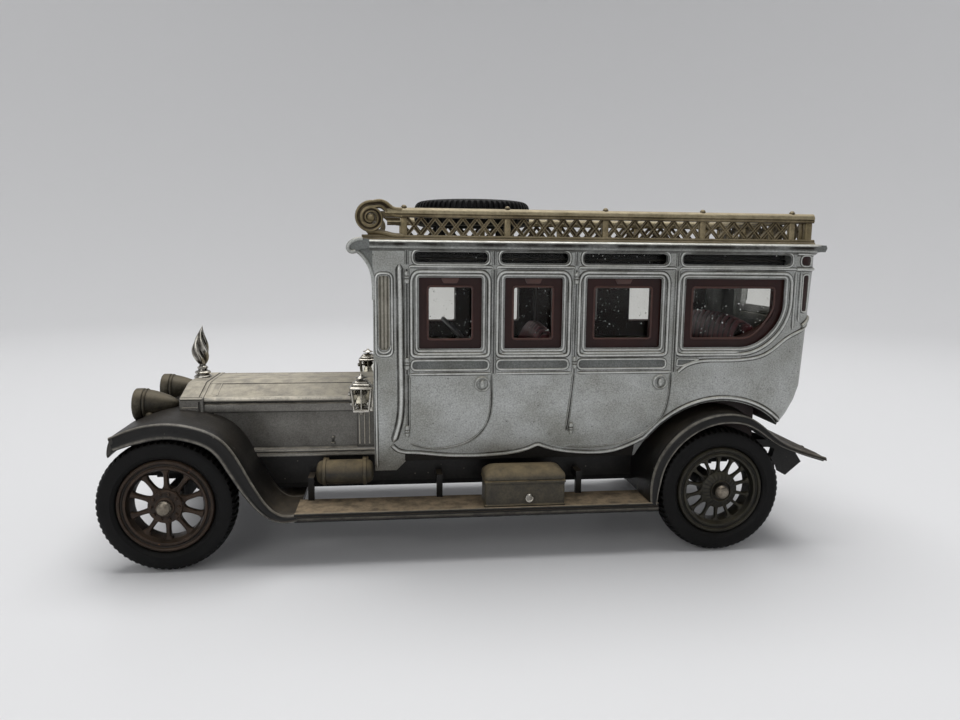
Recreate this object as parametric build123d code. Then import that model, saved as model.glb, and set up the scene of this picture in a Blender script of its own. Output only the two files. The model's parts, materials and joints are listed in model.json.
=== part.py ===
"""A diecast collector car: a coach-bodied limousine of about 1912 at roughly 1:45, built as separate pieces.

Millimetres. +Z is up, the front of the car points to -X and its left side to -Y. The tyres stand on z = 0,
and the origin is under the middle of the car's length. Each piece is written to parts/NAME.step.
"""
import os
from math import cos, hypot, pi, radians, sin, sqrt

from build123d import *

# ------------------------------------------------------------------ driving dimensions
# wheels and axles
wheelbase = 89.0
tail_overhang = 18.5
tyre_radius = 10.5
tyre_width = 4.7
rim_radius = 7.15
rim_window_radius = 5.5
rim_width = 4.0
wheel_outer_face = 20.5
pin_radius = 0.9
wheel_running_gap = 0.05
head_radius = 1.15
head_length = 0.9
head_gap = 0.1
front_spokes = 10
rear_spokes = 14
front_hub_radius = 2.6
rear_hub_radius = 3.0

# fenders and running boards
sheet = 0.8
front_fender_radius = tyre_radius + 2.4
front_fender_bonnet_gap = 0.5
rear_fender_inner = 13.5
fender_crown = 1.0
fender_skirt = 1.3
board_top = 8.5
board_thickness = 1.2
board_inner = 12.5
board_front_gap = 9.2
board_rear_gap = 1.3

# chassis
rail_inset = 1.5
rail_width = 1.8
rail_bottom = 10.6
rail_top = 15.3
kick_up_top = 17.5
rail_spring_gap = 0.7
base_thickness = 0.8
leaf_thickness = 0.3

# coach body
dash_setback = 31.8
body_half_width = 17.6
body_wall = 1.1
body_foot = 13.5
sill_height = 15.4
body_top = 50.1
turn_under_start = 30.0
turn_under_radius = 37.0
coach_overhang = 16.5
front_quarter = 5.25
rear_quarter = 3.65
foot_reach = 3.5
rear_corner = 3.2
rear_lean = 0.9
rear_tuck = 2.8
tuck_start = 30.0
tuck_low = 20.8
neck = 47.8
coach_levels = (sill_height, 17.5, 20.0, 22.5, 25.0, 27.5, 30.0, 39.0, neck)
window_sill = 34.2
window_head = 45.8
# each of the first three bays: its width, then the setback of its opening and the opening's width
door_bays = ((13.75, 1.7, 10.3), (13.25, 1.55, 9.7), (16.8, 1.6, 12.8))
last_setback = 1.3
last_margin = 2.3
toplight_low = 47.8
toplight_high = 49.7
arch_gap = 1.9

# cabin
frame_thickness = 0.8
frame_border = 1.6
glass_thickness = 0.7
fit_gap = 0.05
floor_thickness = 0.8
piece_gap = 0.3

# bonnet, radiator and lamps
bonnet_half_width = 10.5
bonnet_shoulder = 25.4
bonnet_top = 27.3
bonnet_wall = 1.0
radiator_depth = 3.9
radiator_overhang = 0.4
headlamp_centre_y = 7.4
headlamp_centre_z = 24.0
headlamp_radius = 2.7
side_lamp_inset = 2.0
side_lamp_half = 1.7

# roof
roof_thickness = 1.1
roof_overhang = 0.6
rack_inset = 1.0
rack_width = 1.0
rack_base_height = 0.9
rack_lattice_height = 2.7
rack_rail_height = 1.5
spare_radius = 10.3
spare_height = 4.6

# load on the left board
box_length = 13.4
box_body_gap = 0.4
box_lid_height = 2.0

# ------------------------------------------------------------------ places worked out from them
overall_length = tyre_radius + wheelbase + tail_overhang
front_axle = tyre_radius - overall_length / 2
rear_axle = front_axle + wheelbase
tail = overall_length / 2
axle_height = tyre_radius
wheel_centre_y = wheel_outer_face - tyre_width / 2
dash = front_axle + dash_setback
body_rear = rear_axle + coach_overhang
last_bay = body_rear - dash - front_quarter - rear_quarter - sum(bay[0] for bay in door_bays)
bays = (*door_bays, (last_bay, last_setback, last_bay - last_setback - last_margin))
rail_centre = bonnet_half_width - rail_inset
board_front = front_axle + tyre_radius + board_front_gap
board_rear = rear_axle - tyre_radius - board_rear_gap
front_fender_inner = bonnet_half_width + front_fender_bonnet_gap
radiator_half_width = bonnet_half_width + radiator_overhang
side_lamp_y = body_half_width - side_lamp_inset
roof_half_width = body_half_width + roof_overhang
rack_y = body_half_width - rack_inset
box_height = sill_height - board_top - box_body_gap
roof_top = body_top + roof_thickness
rack_top = roof_top + rack_base_height + rack_lattice_height + rack_rail_height
floor_low = kick_up_top
floor_top = floor_low + floor_thickness
floor_half_width = rear_fender_inner - piece_gap
bonnet_front = front_axle + 4.0
radiator_front = bonnet_front - radiator_depth

pieces = {}


# ------------------------------------------------------------------ helpers
def block(x, y, z):
    """A box between a low and a high value on each axis."""
    spans = [(min(pair), max(pair)) for pair in (x, y, z)]
    middle = [(low + high) / 2 for low, high in spans]
    size = [high - low for low, high in spans]
    return Pos(*middle) * Box(*size)


def rod(start, end, radius):
    """A round bar between two points."""
    run = Vector(*end) - Vector(*start)
    place = Plane(origin=Vector(*start), z_dir=run)
    return place * Cylinder(radius, run.length, align=(Align.CENTER, Align.CENTER, Align.MIN))


def cross_rod(x, z, y, radius):
    """A round bar along Y, between y[0] and y[1]."""
    return rod((x, min(y), z), (x, max(y), z), radius)


def side_plate(outline, y):
    """A closed outline of (x, z) points, carried across from y[0] to y[1]."""
    points = [(x, min(y), z) for x, z in outline]
    face = Face(Wire(Polyline(*points, close=True).edges()))
    return extrude(face, abs(y[1] - y[0]), dir=(0, 1, 0))


def end_plate(outline, x):
    """A closed outline of (y, z) points, carried along from x[0] to x[1]."""
    points = [(min(x), y, z) for y, z in outline]
    face = Face(Wire(Polyline(*points, close=True).edges()))
    return extrude(face, abs(x[1] - x[0]), dir=(1, 0, 0))


def turned(profile, origin, axis):
    """A profile of (radius, distance along the axis) points, spun about the axis through origin."""
    points = [(radius, 0, along) for radius, along in profile]
    face = Face(Wire(Polyline(*points, close=True).edges()))
    place = Plane(origin=Vector(*origin), z_dir=Vector(*axis))
    return place * revolve(face, Axis.Z)


def fuse(solids):
    """One solid from a list of touching or overlapping ones."""
    first, *rest = solids
    return first.fuse(*rest) if rest else first


def both_sides(name, left):
    """Keeps the left-hand piece and its mirror image as two nodes."""
    pieces[name + "_left"] = left
    pieces[name + "_right"] = mirror(left, about=Plane.XZ)


def group(solids):
    """Separate solids that share one node."""
    return Compound(children=list(solids))


def pair(left):
    """A left-hand solid and its mirror image, sharing one node."""
    return group([left, mirror(left, about=Plane.XZ)])


def body_inset(z):
    """How far the turn-under has drawn the body side in at height z."""
    drop = max(0.0, turn_under_start - z)
    return turn_under_radius - sqrt(turn_under_radius**2 - drop**2)


# ------------------------------------------------------------------ wheels
def tyre(x, side):
    """A ring with rounded shoulders and a flat tread, centred on the wheel."""
    half = tyre_width / 2
    shoulder = 0.9
    profile = (
        (rim_radius, -half + shoulder),
        (rim_radius + 0.8, -half),
        (tyre_radius - shoulder, -half + 0.15),
        (tyre_radius, -half + shoulder),
        (tyre_radius, half - shoulder),
        (tyre_radius - shoulder, half - 0.15),
        (rim_radius + 0.8, half),
        (rim_radius, half - shoulder),
    )
    return turned(profile, (x, side * wheel_centre_y, axle_height), (0, 1, 0))


def spoked_rim(x, side, spokes, hub_radius):
    """A rim ring, its straight spokes and a bored hub barrel."""
    centre = (x, side * wheel_centre_y, axle_height)
    half = rim_width / 2
    bore = pin_radius + wheel_running_gap
    ring = turned(
        (
            (rim_window_radius, -half + 0.6),
            (rim_window_radius + 0.5, -half),
            (rim_radius, -half),
            (rim_radius, half),
            (rim_window_radius + 0.5, half),
            (rim_window_radius, half - 0.6),
        ),
        centre,
        (0, 1, 0),
    )
    barrel_reach = wheel_outer_face - wheel_centre_y - 1.0
    barrel_low, barrel_high = sorted((side * barrel_reach, -side * half))
    hub = turned(
        ((0, barrel_low), (hub_radius - 0.5, barrel_low), (hub_radius - 0.5, barrel_high), (0, barrel_high)),
        centre,
        (0, 1, 0),
    )
    bars = [hub, ring]
    for index in range(spokes):
        turn = 360 * (index + 0.5) / spokes
        bar = Pos((rim_window_radius + 1.6) / 2, 0, 0) * Box(rim_window_radius + 0.6, 1.0, 0.95)
        bars.append(Pos(*centre) * Rot(0, turn, 0) * Pos(0, side * 0.35, 0) * bar)
    return fuse(bars) - cross_rod(x, axle_height, (centre[1] - 5, centre[1] + 5), bore)


def hub_flange(x, side, radius, bolts):
    """The round plate outside the spokes, with its bolt heads and a clear hole for the axle."""
    inner = side * (wheel_outer_face - 1.0)
    outer = side * (wheel_outer_face - 0.3)
    plate = cross_rod(x, axle_height, (inner, outer), radius)
    cup = cross_rod(x, axle_height, (inner, side * (wheel_outer_face + 0.05)), radius * 0.56)
    heads = []
    for index in range(bolts):
        turn = radians(360 * index / bolts)
        reach = radius * 0.8
        place = (x + reach * cos(turn), axle_height + reach * sin(turn))
        heads.append(cross_rod(*place, (inner, side * (wheel_outer_face - 0.05)), 0.28))
    return fuse([plate, cup, *heads]) - cross_rod(
        x, axle_height, (side * 15, side * 25), pin_radius + wheel_running_gap
    )


def axle_pin(x):
    """A steel rod right across the car, with a domed head outside each wheel."""
    head_start = wheel_outer_face + 0.05 + head_gap
    shank = cross_rod(x, axle_height, (-head_start, head_start), pin_radius)
    heads = []
    for side in (-1, 1):
        dome = (
            (0, 0),
            (head_radius, 0),
            (head_radius, head_length * 0.35),
            (head_radius * 0.8, head_length * 0.75),
            (head_radius * 0.4, head_length),
            (0, head_length),
        )
        heads.append(turned(dome, (x, side * head_start, axle_height), (0, side, 0)))
    return fuse([shank, *heads])


for end, x, spokes, hub_radius, bolts in (
    ("front", front_axle, front_spokes, front_hub_radius, 10),
    ("rear", rear_axle, rear_spokes, rear_hub_radius, 8),
):
    for hand, side in (("left", -1), ("right", 1)):
        pieces[f"{end}_{hand}_tyre"] = tyre(x, side)
        pieces[f"{end}_{hand}_rim"] = spoked_rim(x, side, spokes, hub_radius)
        pieces[f"{end}_{hand}_hub"] = hub_flange(x, side, hub_radius, bolts)
    pieces[f"{end}_axle_pin"] = axle_pin(x)


# ------------------------------------------------------------------ axle beams and springs
beam_half = wheel_outer_face - tyre_width - 1.2
beam_size = 1.3
front_beam = block(
    (front_axle - beam_size, front_axle + beam_size),
    (-beam_half, beam_half),
    (axle_height - beam_size, axle_height + beam_size),
)
pieces["front_axle_beam"] = front_beam - cross_rod(
    front_axle, axle_height, (-beam_half - 1, beam_half + 1), pin_radius
)

casing_radius = 1.6
bulge_radius = 3.6
casing = cross_rod(rear_axle, axle_height, (-beam_half, beam_half), casing_radius)
bulge = Pos(rear_axle, 0, axle_height) * Sphere(bulge_radius)
pieces["rear_axle_casing"] = fuse([casing, bulge]) - cross_rod(
    rear_axle, axle_height, (-beam_half - 1, beam_half + 1), pin_radius
)


def leaf_spring(x, seat, side, lengths):
    """A stack of flat leaves, the longest on top, standing on the axle at height seat."""
    leaves = []
    for index, length in enumerate(lengths):
        low = seat + leaf_thickness * index
        y = (side * rail_centre - 0.7, side * rail_centre + 0.7)
        leaves.append(block((x - length / 2, x + length / 2), y, (low, low + leaf_thickness)))
    return fuse(leaves)


front_seat_height = axle_height + beam_size
rear_seat_height = axle_height + casing_radius
front_leaves = (5.0, 8.5, 12.0)
rear_leaves = (6.0, 12.0, 18.0)
pieces["front_springs"] = group(leaf_spring(front_axle, front_seat_height, s, front_leaves) for s in (-1, 1))
pieces["rear_springs"] = group(leaf_spring(rear_axle, rear_seat_height, s, rear_leaves) for s in (-1, 1))

# ------------------------------------------------------------------ chassis
rail_outer = rail_centre + rail_width / 2
rail_inner = rail_centre - rail_width / 2
over_front_axle = front_seat_height + leaf_thickness * len(front_leaves)
spring_end = rear_axle - rear_leaves[-1] / 2
spring_top = rear_seat_height + leaf_thickness * len(rear_leaves)
rail_outline = (
    (front_axle - 8.4, over_front_axle - 0.6),
    (front_axle - 6.4, over_front_axle),
    (front_axle + 6.2, over_front_axle),
    (front_axle + 8.6, rail_bottom),
    (rear_axle - 12.0, rail_bottom),
    (spring_end, spring_top + rail_spring_gap),
    (rear_axle - 6.5, kick_up_top - 2.1),
    (rear_axle + 10.5, kick_up_top - 2.1),
    (rear_axle + 14.0, kick_up_top - 2.6),
    (rear_axle + 14.0, kick_up_top - 1.0),
    (rear_axle + 11.0, kick_up_top),
    (rear_axle - 8.0, kick_up_top),
    (rear_axle - 12.0, rail_top),
    (front_axle - 5.4, rail_top),
    (front_axle - 8.4, over_front_axle + 0.6),
)
pieces["chassis_rails"] = pair(side_plate(rail_outline, (-rail_outer, -rail_inner)))

cross_members = []
for x, low, high in (
    (front_axle - 2.5, over_front_axle + 0.3, rail_top - 0.4),
    (front_axle + 36.0, rail_bottom, rail_top - 1.0),
    (rear_axle + 8.0, kick_up_top - 2.0, kick_up_top - 0.3),
):
    cross_members.append(block((x - 1.0, x + 1.0), (-rail_inner, rail_inner), (low, high)))
pieces["cross_members"] = group(cross_members)

base_front = front_axle + 8.6
base_rear = rear_axle - 12.0
pieces["base_plate"] = block(
    (base_front, base_rear), (-rail_outer, rail_outer), (rail_bottom - base_thickness, rail_bottom)
)


# ------------------------------------------------------------------ fenders and running boards
def sheet_points(line, thickness):
    """The line of (x, z) points moved square to itself by a thickness, to the right of its direction."""
    moved = []
    for index, (x, z) in enumerate(line):
        before = line[max(index - 1, 0)]
        after = line[min(index + 1, len(line) - 1)]
        dx, dz = after[0] - before[0], after[1] - before[1]
        length = hypot(dx, dz)
        moved.append((x + dz / length * thickness, z - dx / length * thickness))
    return moved


def sheet_face(line, y, thickness):
    """A strip with a smooth top line and a smooth underside, as one upright face at y."""
    under = sheet_points(line, thickness)
    top_points = [(x, y, z) for x, z in line]
    under_points = [(x, y, z) for x, z in reversed(under)]
    top = Spline(*top_points)
    bottom = Spline(*under_points)
    tip = Line(top_points[-1], under_points[0])
    heel = Line(under_points[-1], top_points[0])
    return Face(Wire([top, tip, bottom, heel]))


def crowned_sheet(line, rises, outer, inner):
    """A sheet that follows the line and is raised by rises along its middle."""
    crown = [
        (x - (mx - x) * rise, z - (mz - z) * rise)
        for (x, z), (mx, mz), rise in zip(line, sheet_points(line, 1.0), rises)
    ]
    middle = (outer + inner) / 2
    faces = [sheet_face(line, outer, sheet), sheet_face(crown, middle, sheet), sheet_face(line, inner, sheet)]
    return Solid(loft(faces).wrapped)


def polar(centre_x, turn, radius):
    """A point at an angle from the rear horizontal about a wheel centre."""
    return (centre_x + radius * cos(radians(turn)), axle_height + radius * sin(radians(turn)))


front_line = [
    polar(front_axle, 125, front_fender_radius + 0.4),
    polar(front_axle, 108, front_fender_radius),
    polar(front_axle, 88, front_fender_radius),
    polar(front_axle, 70, front_fender_radius + 0.2),
    polar(front_axle, 50, front_fender_radius + 0.5),
    polar(front_axle, 28, front_fender_radius + 0.1),
    polar(front_axle, 8, front_fender_radius + 0.9),
    (board_front - 2.2, board_top),
    (board_front, board_top),
]
front_rises = [0.5, 0.9, 1.0, 1.0, 1.0, 0.9, 0.5, 0.1, 0.0]
front_rises = [rise * fender_crown for rise in front_rises]
front_sheet = crowned_sheet(front_line, front_rises, -wheel_outer_face, -front_fender_inner)
skirt_line = front_line[:7]
front_skirt = extrude(sheet_face(skirt_line, -wheel_outer_face, fender_skirt), 0.5, dir=(0, 1, 0))
both_sides("front_fender", fuse([front_sheet, front_skirt]))

rear_line = [
    (board_rear, board_top),
    (board_rear, axle_height + 1.6),
    polar(rear_axle, 158, front_fender_radius - 0.9),
    polar(rear_axle, 142, front_fender_radius - 0.8),
    polar(rear_axle, 124, front_fender_radius - 0.6),
    polar(rear_axle, 106, front_fender_radius - 0.3),
    polar(rear_axle, 88, front_fender_radius),
    polar(rear_axle, 68, front_fender_radius + 0.1),
    polar(rear_axle, 52, front_fender_radius - 0.2),
    polar(rear_axle, 40, front_fender_radius + 0.1),
    (tail - 5.7, axle_height + 7.0),
    (tail, axle_height + 5.2),
]
rear_rises = [0.0, 0.4, 0.8, 1.0, 1.0, 1.0, 1.0, 0.9, 0.8, 0.6, 0.3, 0.0]
rear_rises = [rise * fender_crown for rise in rear_rises]
rear_sheet = crowned_sheet(rear_line, rear_rises, -wheel_outer_face, -rear_fender_inner)
rear_skirt_line = rear_line[1:10]
rear_skirt = extrude(sheet_face(rear_skirt_line, -wheel_outer_face, fender_skirt), 0.5, dir=(0, 1, 0))
both_sides("rear_fender", fuse([rear_sheet, rear_skirt]))

board = block(
    (board_front, board_rear + 1.2), (-wheel_outer_face, -board_inner), (board_top - board_thickness, board_top)
)
edge_bead = 0.35
board_bead = block(
    (board_front, board_rear - 1.0),
    (-wheel_outer_face, -wheel_outer_face + 0.5),
    (board_top, board_top + edge_bead),
)
both_sides("running_board", fuse([board, board_bead]))

bracket_arm = 1.2
bracket_post = 0.8
brackets = []
for x in (front_axle + 21.2, front_axle + 42.5, rear_axle - 22.5):
    for side in (-1, 1):
        arm_y = (side * rail_outer, side * (board_inner + bracket_post))
        post_y = (side * board_inner, side * (board_inner + bracket_post))
        arm = block((x - 0.5, x + 0.5), arm_y, (rail_bottom + 0.6, rail_bottom + 0.6 + bracket_arm))
        post = block((x - 0.5, x + 0.5), post_y, (board_top, rail_bottom + 0.6 + bracket_arm))
        brackets.append(fuse([arm, post]))
pieces["board_brackets"] = group(brackets)

# the rear spring hangers: an upper bar, a lower bar and a pointed shackle end outside each rail
hanger_y = (-(rear_fender_inner - piece_gap), -(rear_fender_inner - piece_gap - 1.6))
hanger_outline = (
    (rear_axle + 1.0, kick_up_top - 1.5),
    (rear_axle + 12.0, kick_up_top - 1.6),
    (tail - 5.5, kick_up_top - 2.0),
    (tail - 5.9, kick_up_top - 3.4),
    (rear_axle + 8.0, kick_up_top - 3.5),
    (rear_axle + 8.0, kick_up_top - 5.0),
    (tail - 4.6, kick_up_top - 4.9),
    (tail - 4.0, kick_up_top - 6.4),
    (tail - 3.2, kick_up_top - 6.8),
    (tail - 0.4, kick_up_top - 4.4),
    (tail - 1.6, kick_up_top - 2.6),
    (rear_axle + 12.0, kick_up_top - 0.2),
    (rear_axle + 1.0, kick_up_top - 0.2),
)
hanger = side_plate(hanger_outline, hanger_y)
hanger_foot = block(
    (rear_axle + 1.0, rear_axle + 3.0), (hanger_y[0], -rail_outer), (kick_up_top - 1.5, kick_up_top - 0.2)
)
pieces["rear_hangers"] = pair(fuse([hanger, hanger_foot]))


# ------------------------------------------------------------------ coach body
def rear_setback(z):
    """How far the coach's rear lies in front of its rearmost line at height z: a round tuck under, then upright."""
    if z < tuck_start:
        return rear_lean + rear_tuck * ((tuck_start - z) / (tuck_start - tuck_low)) ** 2
    if z < neck:
        return rear_lean * (neck - z) / (neck - tuck_start) + 0.1
    return 0.1


def plan_face(z, wall):
    """The coach's outline in plan at height z, drawn in by a wall, with its two rear corners rounded."""
    half = body_half_width - body_inset(z) - wall
    front = dash + wall
    rear = body_rear - rear_setback(z) - wall
    radius = rear_corner - wall
    slant = radius * (1 - cos(pi / 4))
    corners = [(rear - radius, half), (rear, half - radius), (rear, radius - half), (rear - radius, -half)]
    arc_one = ThreePointArc((rear - radius, half, z), (rear - slant, half - slant, z), (rear, half - radius, z))
    arc_two = ThreePointArc((rear, radius - half, z), (rear - slant, slant - half, z), (rear - radius, -half, z))
    edges = [
        Line((front, -half, z), (front, half, z)),
        Line((front, half, z), (*corners[0], z)),
        arc_one,
        Line((*corners[1], z), (*corners[2], z)),
        arc_two,
        Line((*corners[3], z), (front, -half, z)),
    ]
    return Face(Wire(edges))


def coach_lump(wall, low, high):
    """The coach as one solid: its plans at rising heights, joined by straight-ruled faces."""
    levels = [z for z in coach_levels if low < z < high]
    faces = [plan_face(z, wall) for z in (low, *levels, high)]
    return Solid(loft(faces, ruled=True).wrapped)


def rounded_opening(x, y, z, radius):
    """A cutter through a side wall, with round corners in side view."""
    cutter = block(x, y, z)
    return fillet(cutter.edges().filter_by(Axis.Y), radius)


def bay_openings():
    """The (front x, rear x) of each side window."""
    start = dash + front_quarter
    spans = []
    for width, setback, opening in bays:
        spans.append((start + setback, start + setback + opening))
        start += width
    return spans


def rear_window_outline(span, inset):
    """The last window's outline: its lower rear corner is swept away in one long curve."""
    front, rear = span[0] + inset, span[1] - inset
    low, high = window_sill + inset, window_head - inset
    sweep = min(rear - front - 1.0, 7.5)
    return front, rear, low, high, sweep


def swept_window(span, inset, y):
    """A solid of the last window's shape, from y[0] to y[1]."""
    front, rear, low, high, sweep = rear_window_outline(span, inset)
    start = min(y)
    edges = [
        Line((front, start, high), (front, start, low)),
        Line((front, start, low), (rear - sweep, start, low)),
        Spline(
            (rear - sweep, start, low),
            (rear - sweep * 0.28, start, low + (high - low) * 0.22),
            (rear, start, low + (high - low) * 0.62),
            tangents=((1, 0, 0), (0, 0, 1)),
        ),
        Line((rear, start, low + (high - low) * 0.62), (rear, start, high)),
        Line((rear, start, high), (front, start, high)),
    ]
    return extrude(Face(Wire(edges)), abs(y[1] - y[0]), dir=(0, 1, 0))


windows = bay_openings()
inner_half = body_half_width - body_wall
through = (-body_half_width - 2, body_half_width + 2)
corner = 0.7

outer = coach_lump(0.0, body_foot, body_top)
cavity = coach_lump(body_wall, body_foot - 2, body_top + 2)
foot_end = dash + foot_reach
underside = (
    (foot_end, body_foot - 5),
    (foot_end, body_foot),
    (foot_end + 1.6, sill_height),
    (body_rear - 7.0, sill_height),
    (body_rear - 4.2, tuck_low),
    (body_rear + 2, tuck_low),
    (body_rear + 2, body_foot - 5),
)
shell = outer - cavity - side_plate(underside, through)

arch_radius = front_fender_radius + fender_crown + arch_gap - 0.9
arch = cross_rod(rear_axle + 0.8, axle_height, through, arch_radius)
notch_half = rail_outer + 2.7
notch = block((dash - 1, dash + body_wall + 0.5), (-notch_half, notch_half), (0, rail_top))
shell = shell - arch - notch
for span in windows[:3]:
    shell = shell - rounded_opening(span, through, (window_sill, window_head), corner)
shell = shell - swept_window(windows[3], 0.0, through)

toplight_radius = (toplight_high - toplight_low) / 2 - 0.05
for width, setback, opening in bays:
    index = bays.index((width, setback, opening))
    span = (windows[index][0] - 0.6, windows[index][1] + 0.8)
    shell = shell - rounded_opening(span, through, (toplight_low, toplight_high), toplight_radius)

quarter_light = (dash + 0.8, dash + 2.6)
shell = shell - rounded_opening(quarter_light, through, (window_sill, window_head), 0.5)
screen_half = inner_half - 0.7
screen_low = bonnet_top + 4.2
for side in (-1, 1):
    pane_y = sorted((side * 0.6, side * screen_half))
    shell = shell - block((dash - 1, dash + body_wall + 0.2), pane_y, (screen_low, window_head))
back_light_half = 6.5
back_light = (38.5, 45.5)
shell = shell - block((body_rear - 4, body_rear + 2), (-back_light_half, back_light_half), back_light)
pieces["body_shell"] = shell

# roof: a flat panel with a drooping visor over the windscreen and a console each side of it
visor_tip = dash - 3.6
roof_outline = (
    (visor_tip, body_top),
    (visor_tip + 0.4, body_top + 0.9),
    (visor_tip + 2.4, roof_top + 0.3),
    (dash + 1.5, roof_top),
    (body_rear + 0.3, roof_top),
    (body_rear + 0.5, body_top + 0.6),
    (body_rear + 0.2, body_top),
    (dash, body_top),
    (dash - 1.6, body_top - 0.2),
    (visor_tip + 0.6, body_top - 0.8),
    (visor_tip + 0.2, body_top - 0.8),
)
roof = side_plate(roof_outline, (-roof_half_width, roof_half_width))
console_outline = (
    (dash, body_top),
    (dash - 2.6, body_top - 0.3),
    (dash - 1.6, body_top - 1.0),
    (dash - 0.7, body_top - 2.0),
    (dash, body_top - 3.4),
)
consoles = []
for side in (-1, 1):
    span = sorted((side * (body_half_width - 1.0), side * body_half_width))
    consoles.append(side_plate(console_outline, span))
pieces["roof_panel"] = fuse([roof, *consoles])

# ------------------------------------------------------------------ window frames and glazing
frame_outer = -(inner_half - fit_gap)
frame_inner = frame_outer + frame_thickness
plug_outer = frame_outer - 0.6
frame_front = dash + body_wall + 2.2
frame_rear = body_rear - 5.4
frame_low = window_sill - 1.6
frame_high = toplight_low - 0.5
frames = [block((frame_front, frame_rear), (frame_outer, frame_inner), (frame_low, frame_high))]
apertures = []
for span in windows[:3]:
    plug_x = (span[0] + fit_gap, span[1] - fit_gap)
    plug_z = (window_sill + fit_gap, window_head - fit_gap)
    frames.append(rounded_opening(plug_x, (plug_outer, frame_outer + 0.1), plug_z, corner))
    clear_x = (span[0] + frame_border, span[1] - frame_border)
    clear_z = (window_sill + frame_border, window_head - frame_border)
    apertures.append(rounded_opening(clear_x, (plug_outer - 1, frame_inner + 1), clear_z, 0.4))
frames.append(swept_window(windows[3], fit_gap, (plug_outer, frame_outer + 0.1)))
apertures.append(swept_window(windows[3], frame_border, (plug_outer - 1, frame_inner + 1)))
frame_left = fuse(frames)
for aperture in apertures:
    frame_left = frame_left - aperture
pieces["window_frames"] = pair(frame_left)

glass_outer = frame_inner + fit_gap
glass_inner = glass_outer + glass_thickness
glass_left = block((frame_front, frame_rear), (glass_outer, glass_inner), (frame_low, body_top - 0.2))
pieces["side_glazing"] = pair(glass_left)
screen_front = dash + body_wall + fit_gap
screen_glass = block(
    (screen_front, screen_front + 0.6), (-screen_half - 0.5, screen_half + 0.5), (screen_low - 0.8, window_head + 0.8)
)
back_glass_rear = body_rear - body_wall - 1.2
back_glass = block(
    (back_glass_rear - 0.6, back_glass_rear), (-back_light_half - 0.8, back_light_half + 0.8), (37.7, 46.3)
)
pieces["end_glazing"] = group([screen_glass, back_glass])

# ------------------------------------------------------------------ cabin
floor_front = dash + body_wall + piece_gap
floor_rear = body_rear - 8.0
floor_plate = block((floor_front, floor_rear), (-floor_half_width, floor_half_width), (floor_low, floor_top))
tub_walls = []
for side in (-1, 1):
    wall_y = (side * (floor_half_width - 0.8), side * floor_half_width)
    tub_walls.append(block((rear_axle - 12, floor_rear), wall_y, (floor_low, floor_top + 8.0)))
pieces["floor_tub"] = fuse([floor_plate, *tub_walls])

partition_x = dash + front_quarter + bays[0][0] + bays[1][0] - 1.2
partition_high = body_top - 0.6
seat_half = floor_half_width - 0.8 - piece_gap
partition = block((partition_x, partition_x + 0.8), (-seat_half, seat_half), (floor_top, partition_high))
opening_half = seat_half - 2.5
partition_pane = block((partition_x - 1, partition_x + 2), (-opening_half, opening_half), (34.0, 46.0))
pieces["partition"] = partition - partition_pane


def seat(front, rear, cushion_top, back_top, back_depth, half):
    """A bench: a cushion block and a raked back, as one moulding."""
    outline = (
        (front, floor_top),
        (front, cushion_top),
        (rear - back_depth - 1.6, cushion_top),
        (rear - back_depth, back_top - 1.0),
        (rear - back_depth + 1.0, back_top),
        (rear, back_top),
        (rear, floor_top),
    )
    return side_plate(outline, (-half, half))


front_seat_rear = partition_x - piece_gap
pieces["front_seat"] = seat(front_seat_rear - 12.5, front_seat_rear, 28.0, 37.5, 2.6, seat_half)
pieces["rear_seat"] = seat(floor_rear - 16.0, floor_rear - 0.5, 29.0, 39.5, 3.0, seat_half)

# the steering wheel stands on the car's right and leans back at 45 degrees
steer_y = 6.0
steer_centre = Vector(dash + 15.2, steer_y, 34.4)
steer_radius = 3.8
steer_rake = 45
steer_place = Plane(
    origin=steer_centre, z_dir=(sin(radians(steer_rake)), 0, cos(radians(steer_rake)))
)
wheel_rim = Torus(steer_radius, 0.4)
wheel_hub = Cylinder(0.8, 0.8)
steer_bars = [wheel_rim, wheel_hub]
for turn in (0, 90, 180, 270):
    steer_bars.append(Rot(0, 0, turn) * Pos(steer_radius / 2, 0, 0) * Box(steer_radius, 0.45, 0.4))
pieces["steering_wheel"] = steer_place * fuse(steer_bars)
column_low = Vector(floor_front + 1.0, steer_y, 0)
column_drop = steer_centre.X - column_low.X
column_run = Vector(-column_drop, 0, -column_drop)
column_start = steer_centre - Vector(0.29, 0, 0.29)
column_end = steer_centre + column_run
pieces["steering_column"] = rod(tuple(column_start), tuple(column_end), 0.5)

# ------------------------------------------------------------------ door furniture
handle_radius = 0.95
handles = []
hinges = []
door_edges = (dash + front_quarter, dash + front_quarter + bays[0][0] + bays[1][0])
door_widths = (bays[0][0], bays[2][0])
handle_height = 28.6
for side in (-1, 1):
    for edge, width in zip(door_edges, door_widths):
        face = body_half_width - body_inset(handle_height - handle_radius)
        handle_y = sorted((side * body_half_width, side * (face + 0.75)))
        handles.append(cross_rod(edge + width - 1.6, handle_height, handle_y, handle_radius))
        for height in (20.85, 32.0, 45.6):
            reach = body_half_width - body_inset(height - 0.8) if height < turn_under_start else body_half_width
            lean = body_half_width - body_inset(height + 0.8) if height < turn_under_start else body_half_width
            y = side * (max(reach, lean) + 0.35)
            hinges.append(rod((edge, y, height - 0.8), (edge, y, height + 0.8), 0.33))
pieces["door_handles"] = group(handles)
pieces["door_hinges"] = group(hinges)

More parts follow.
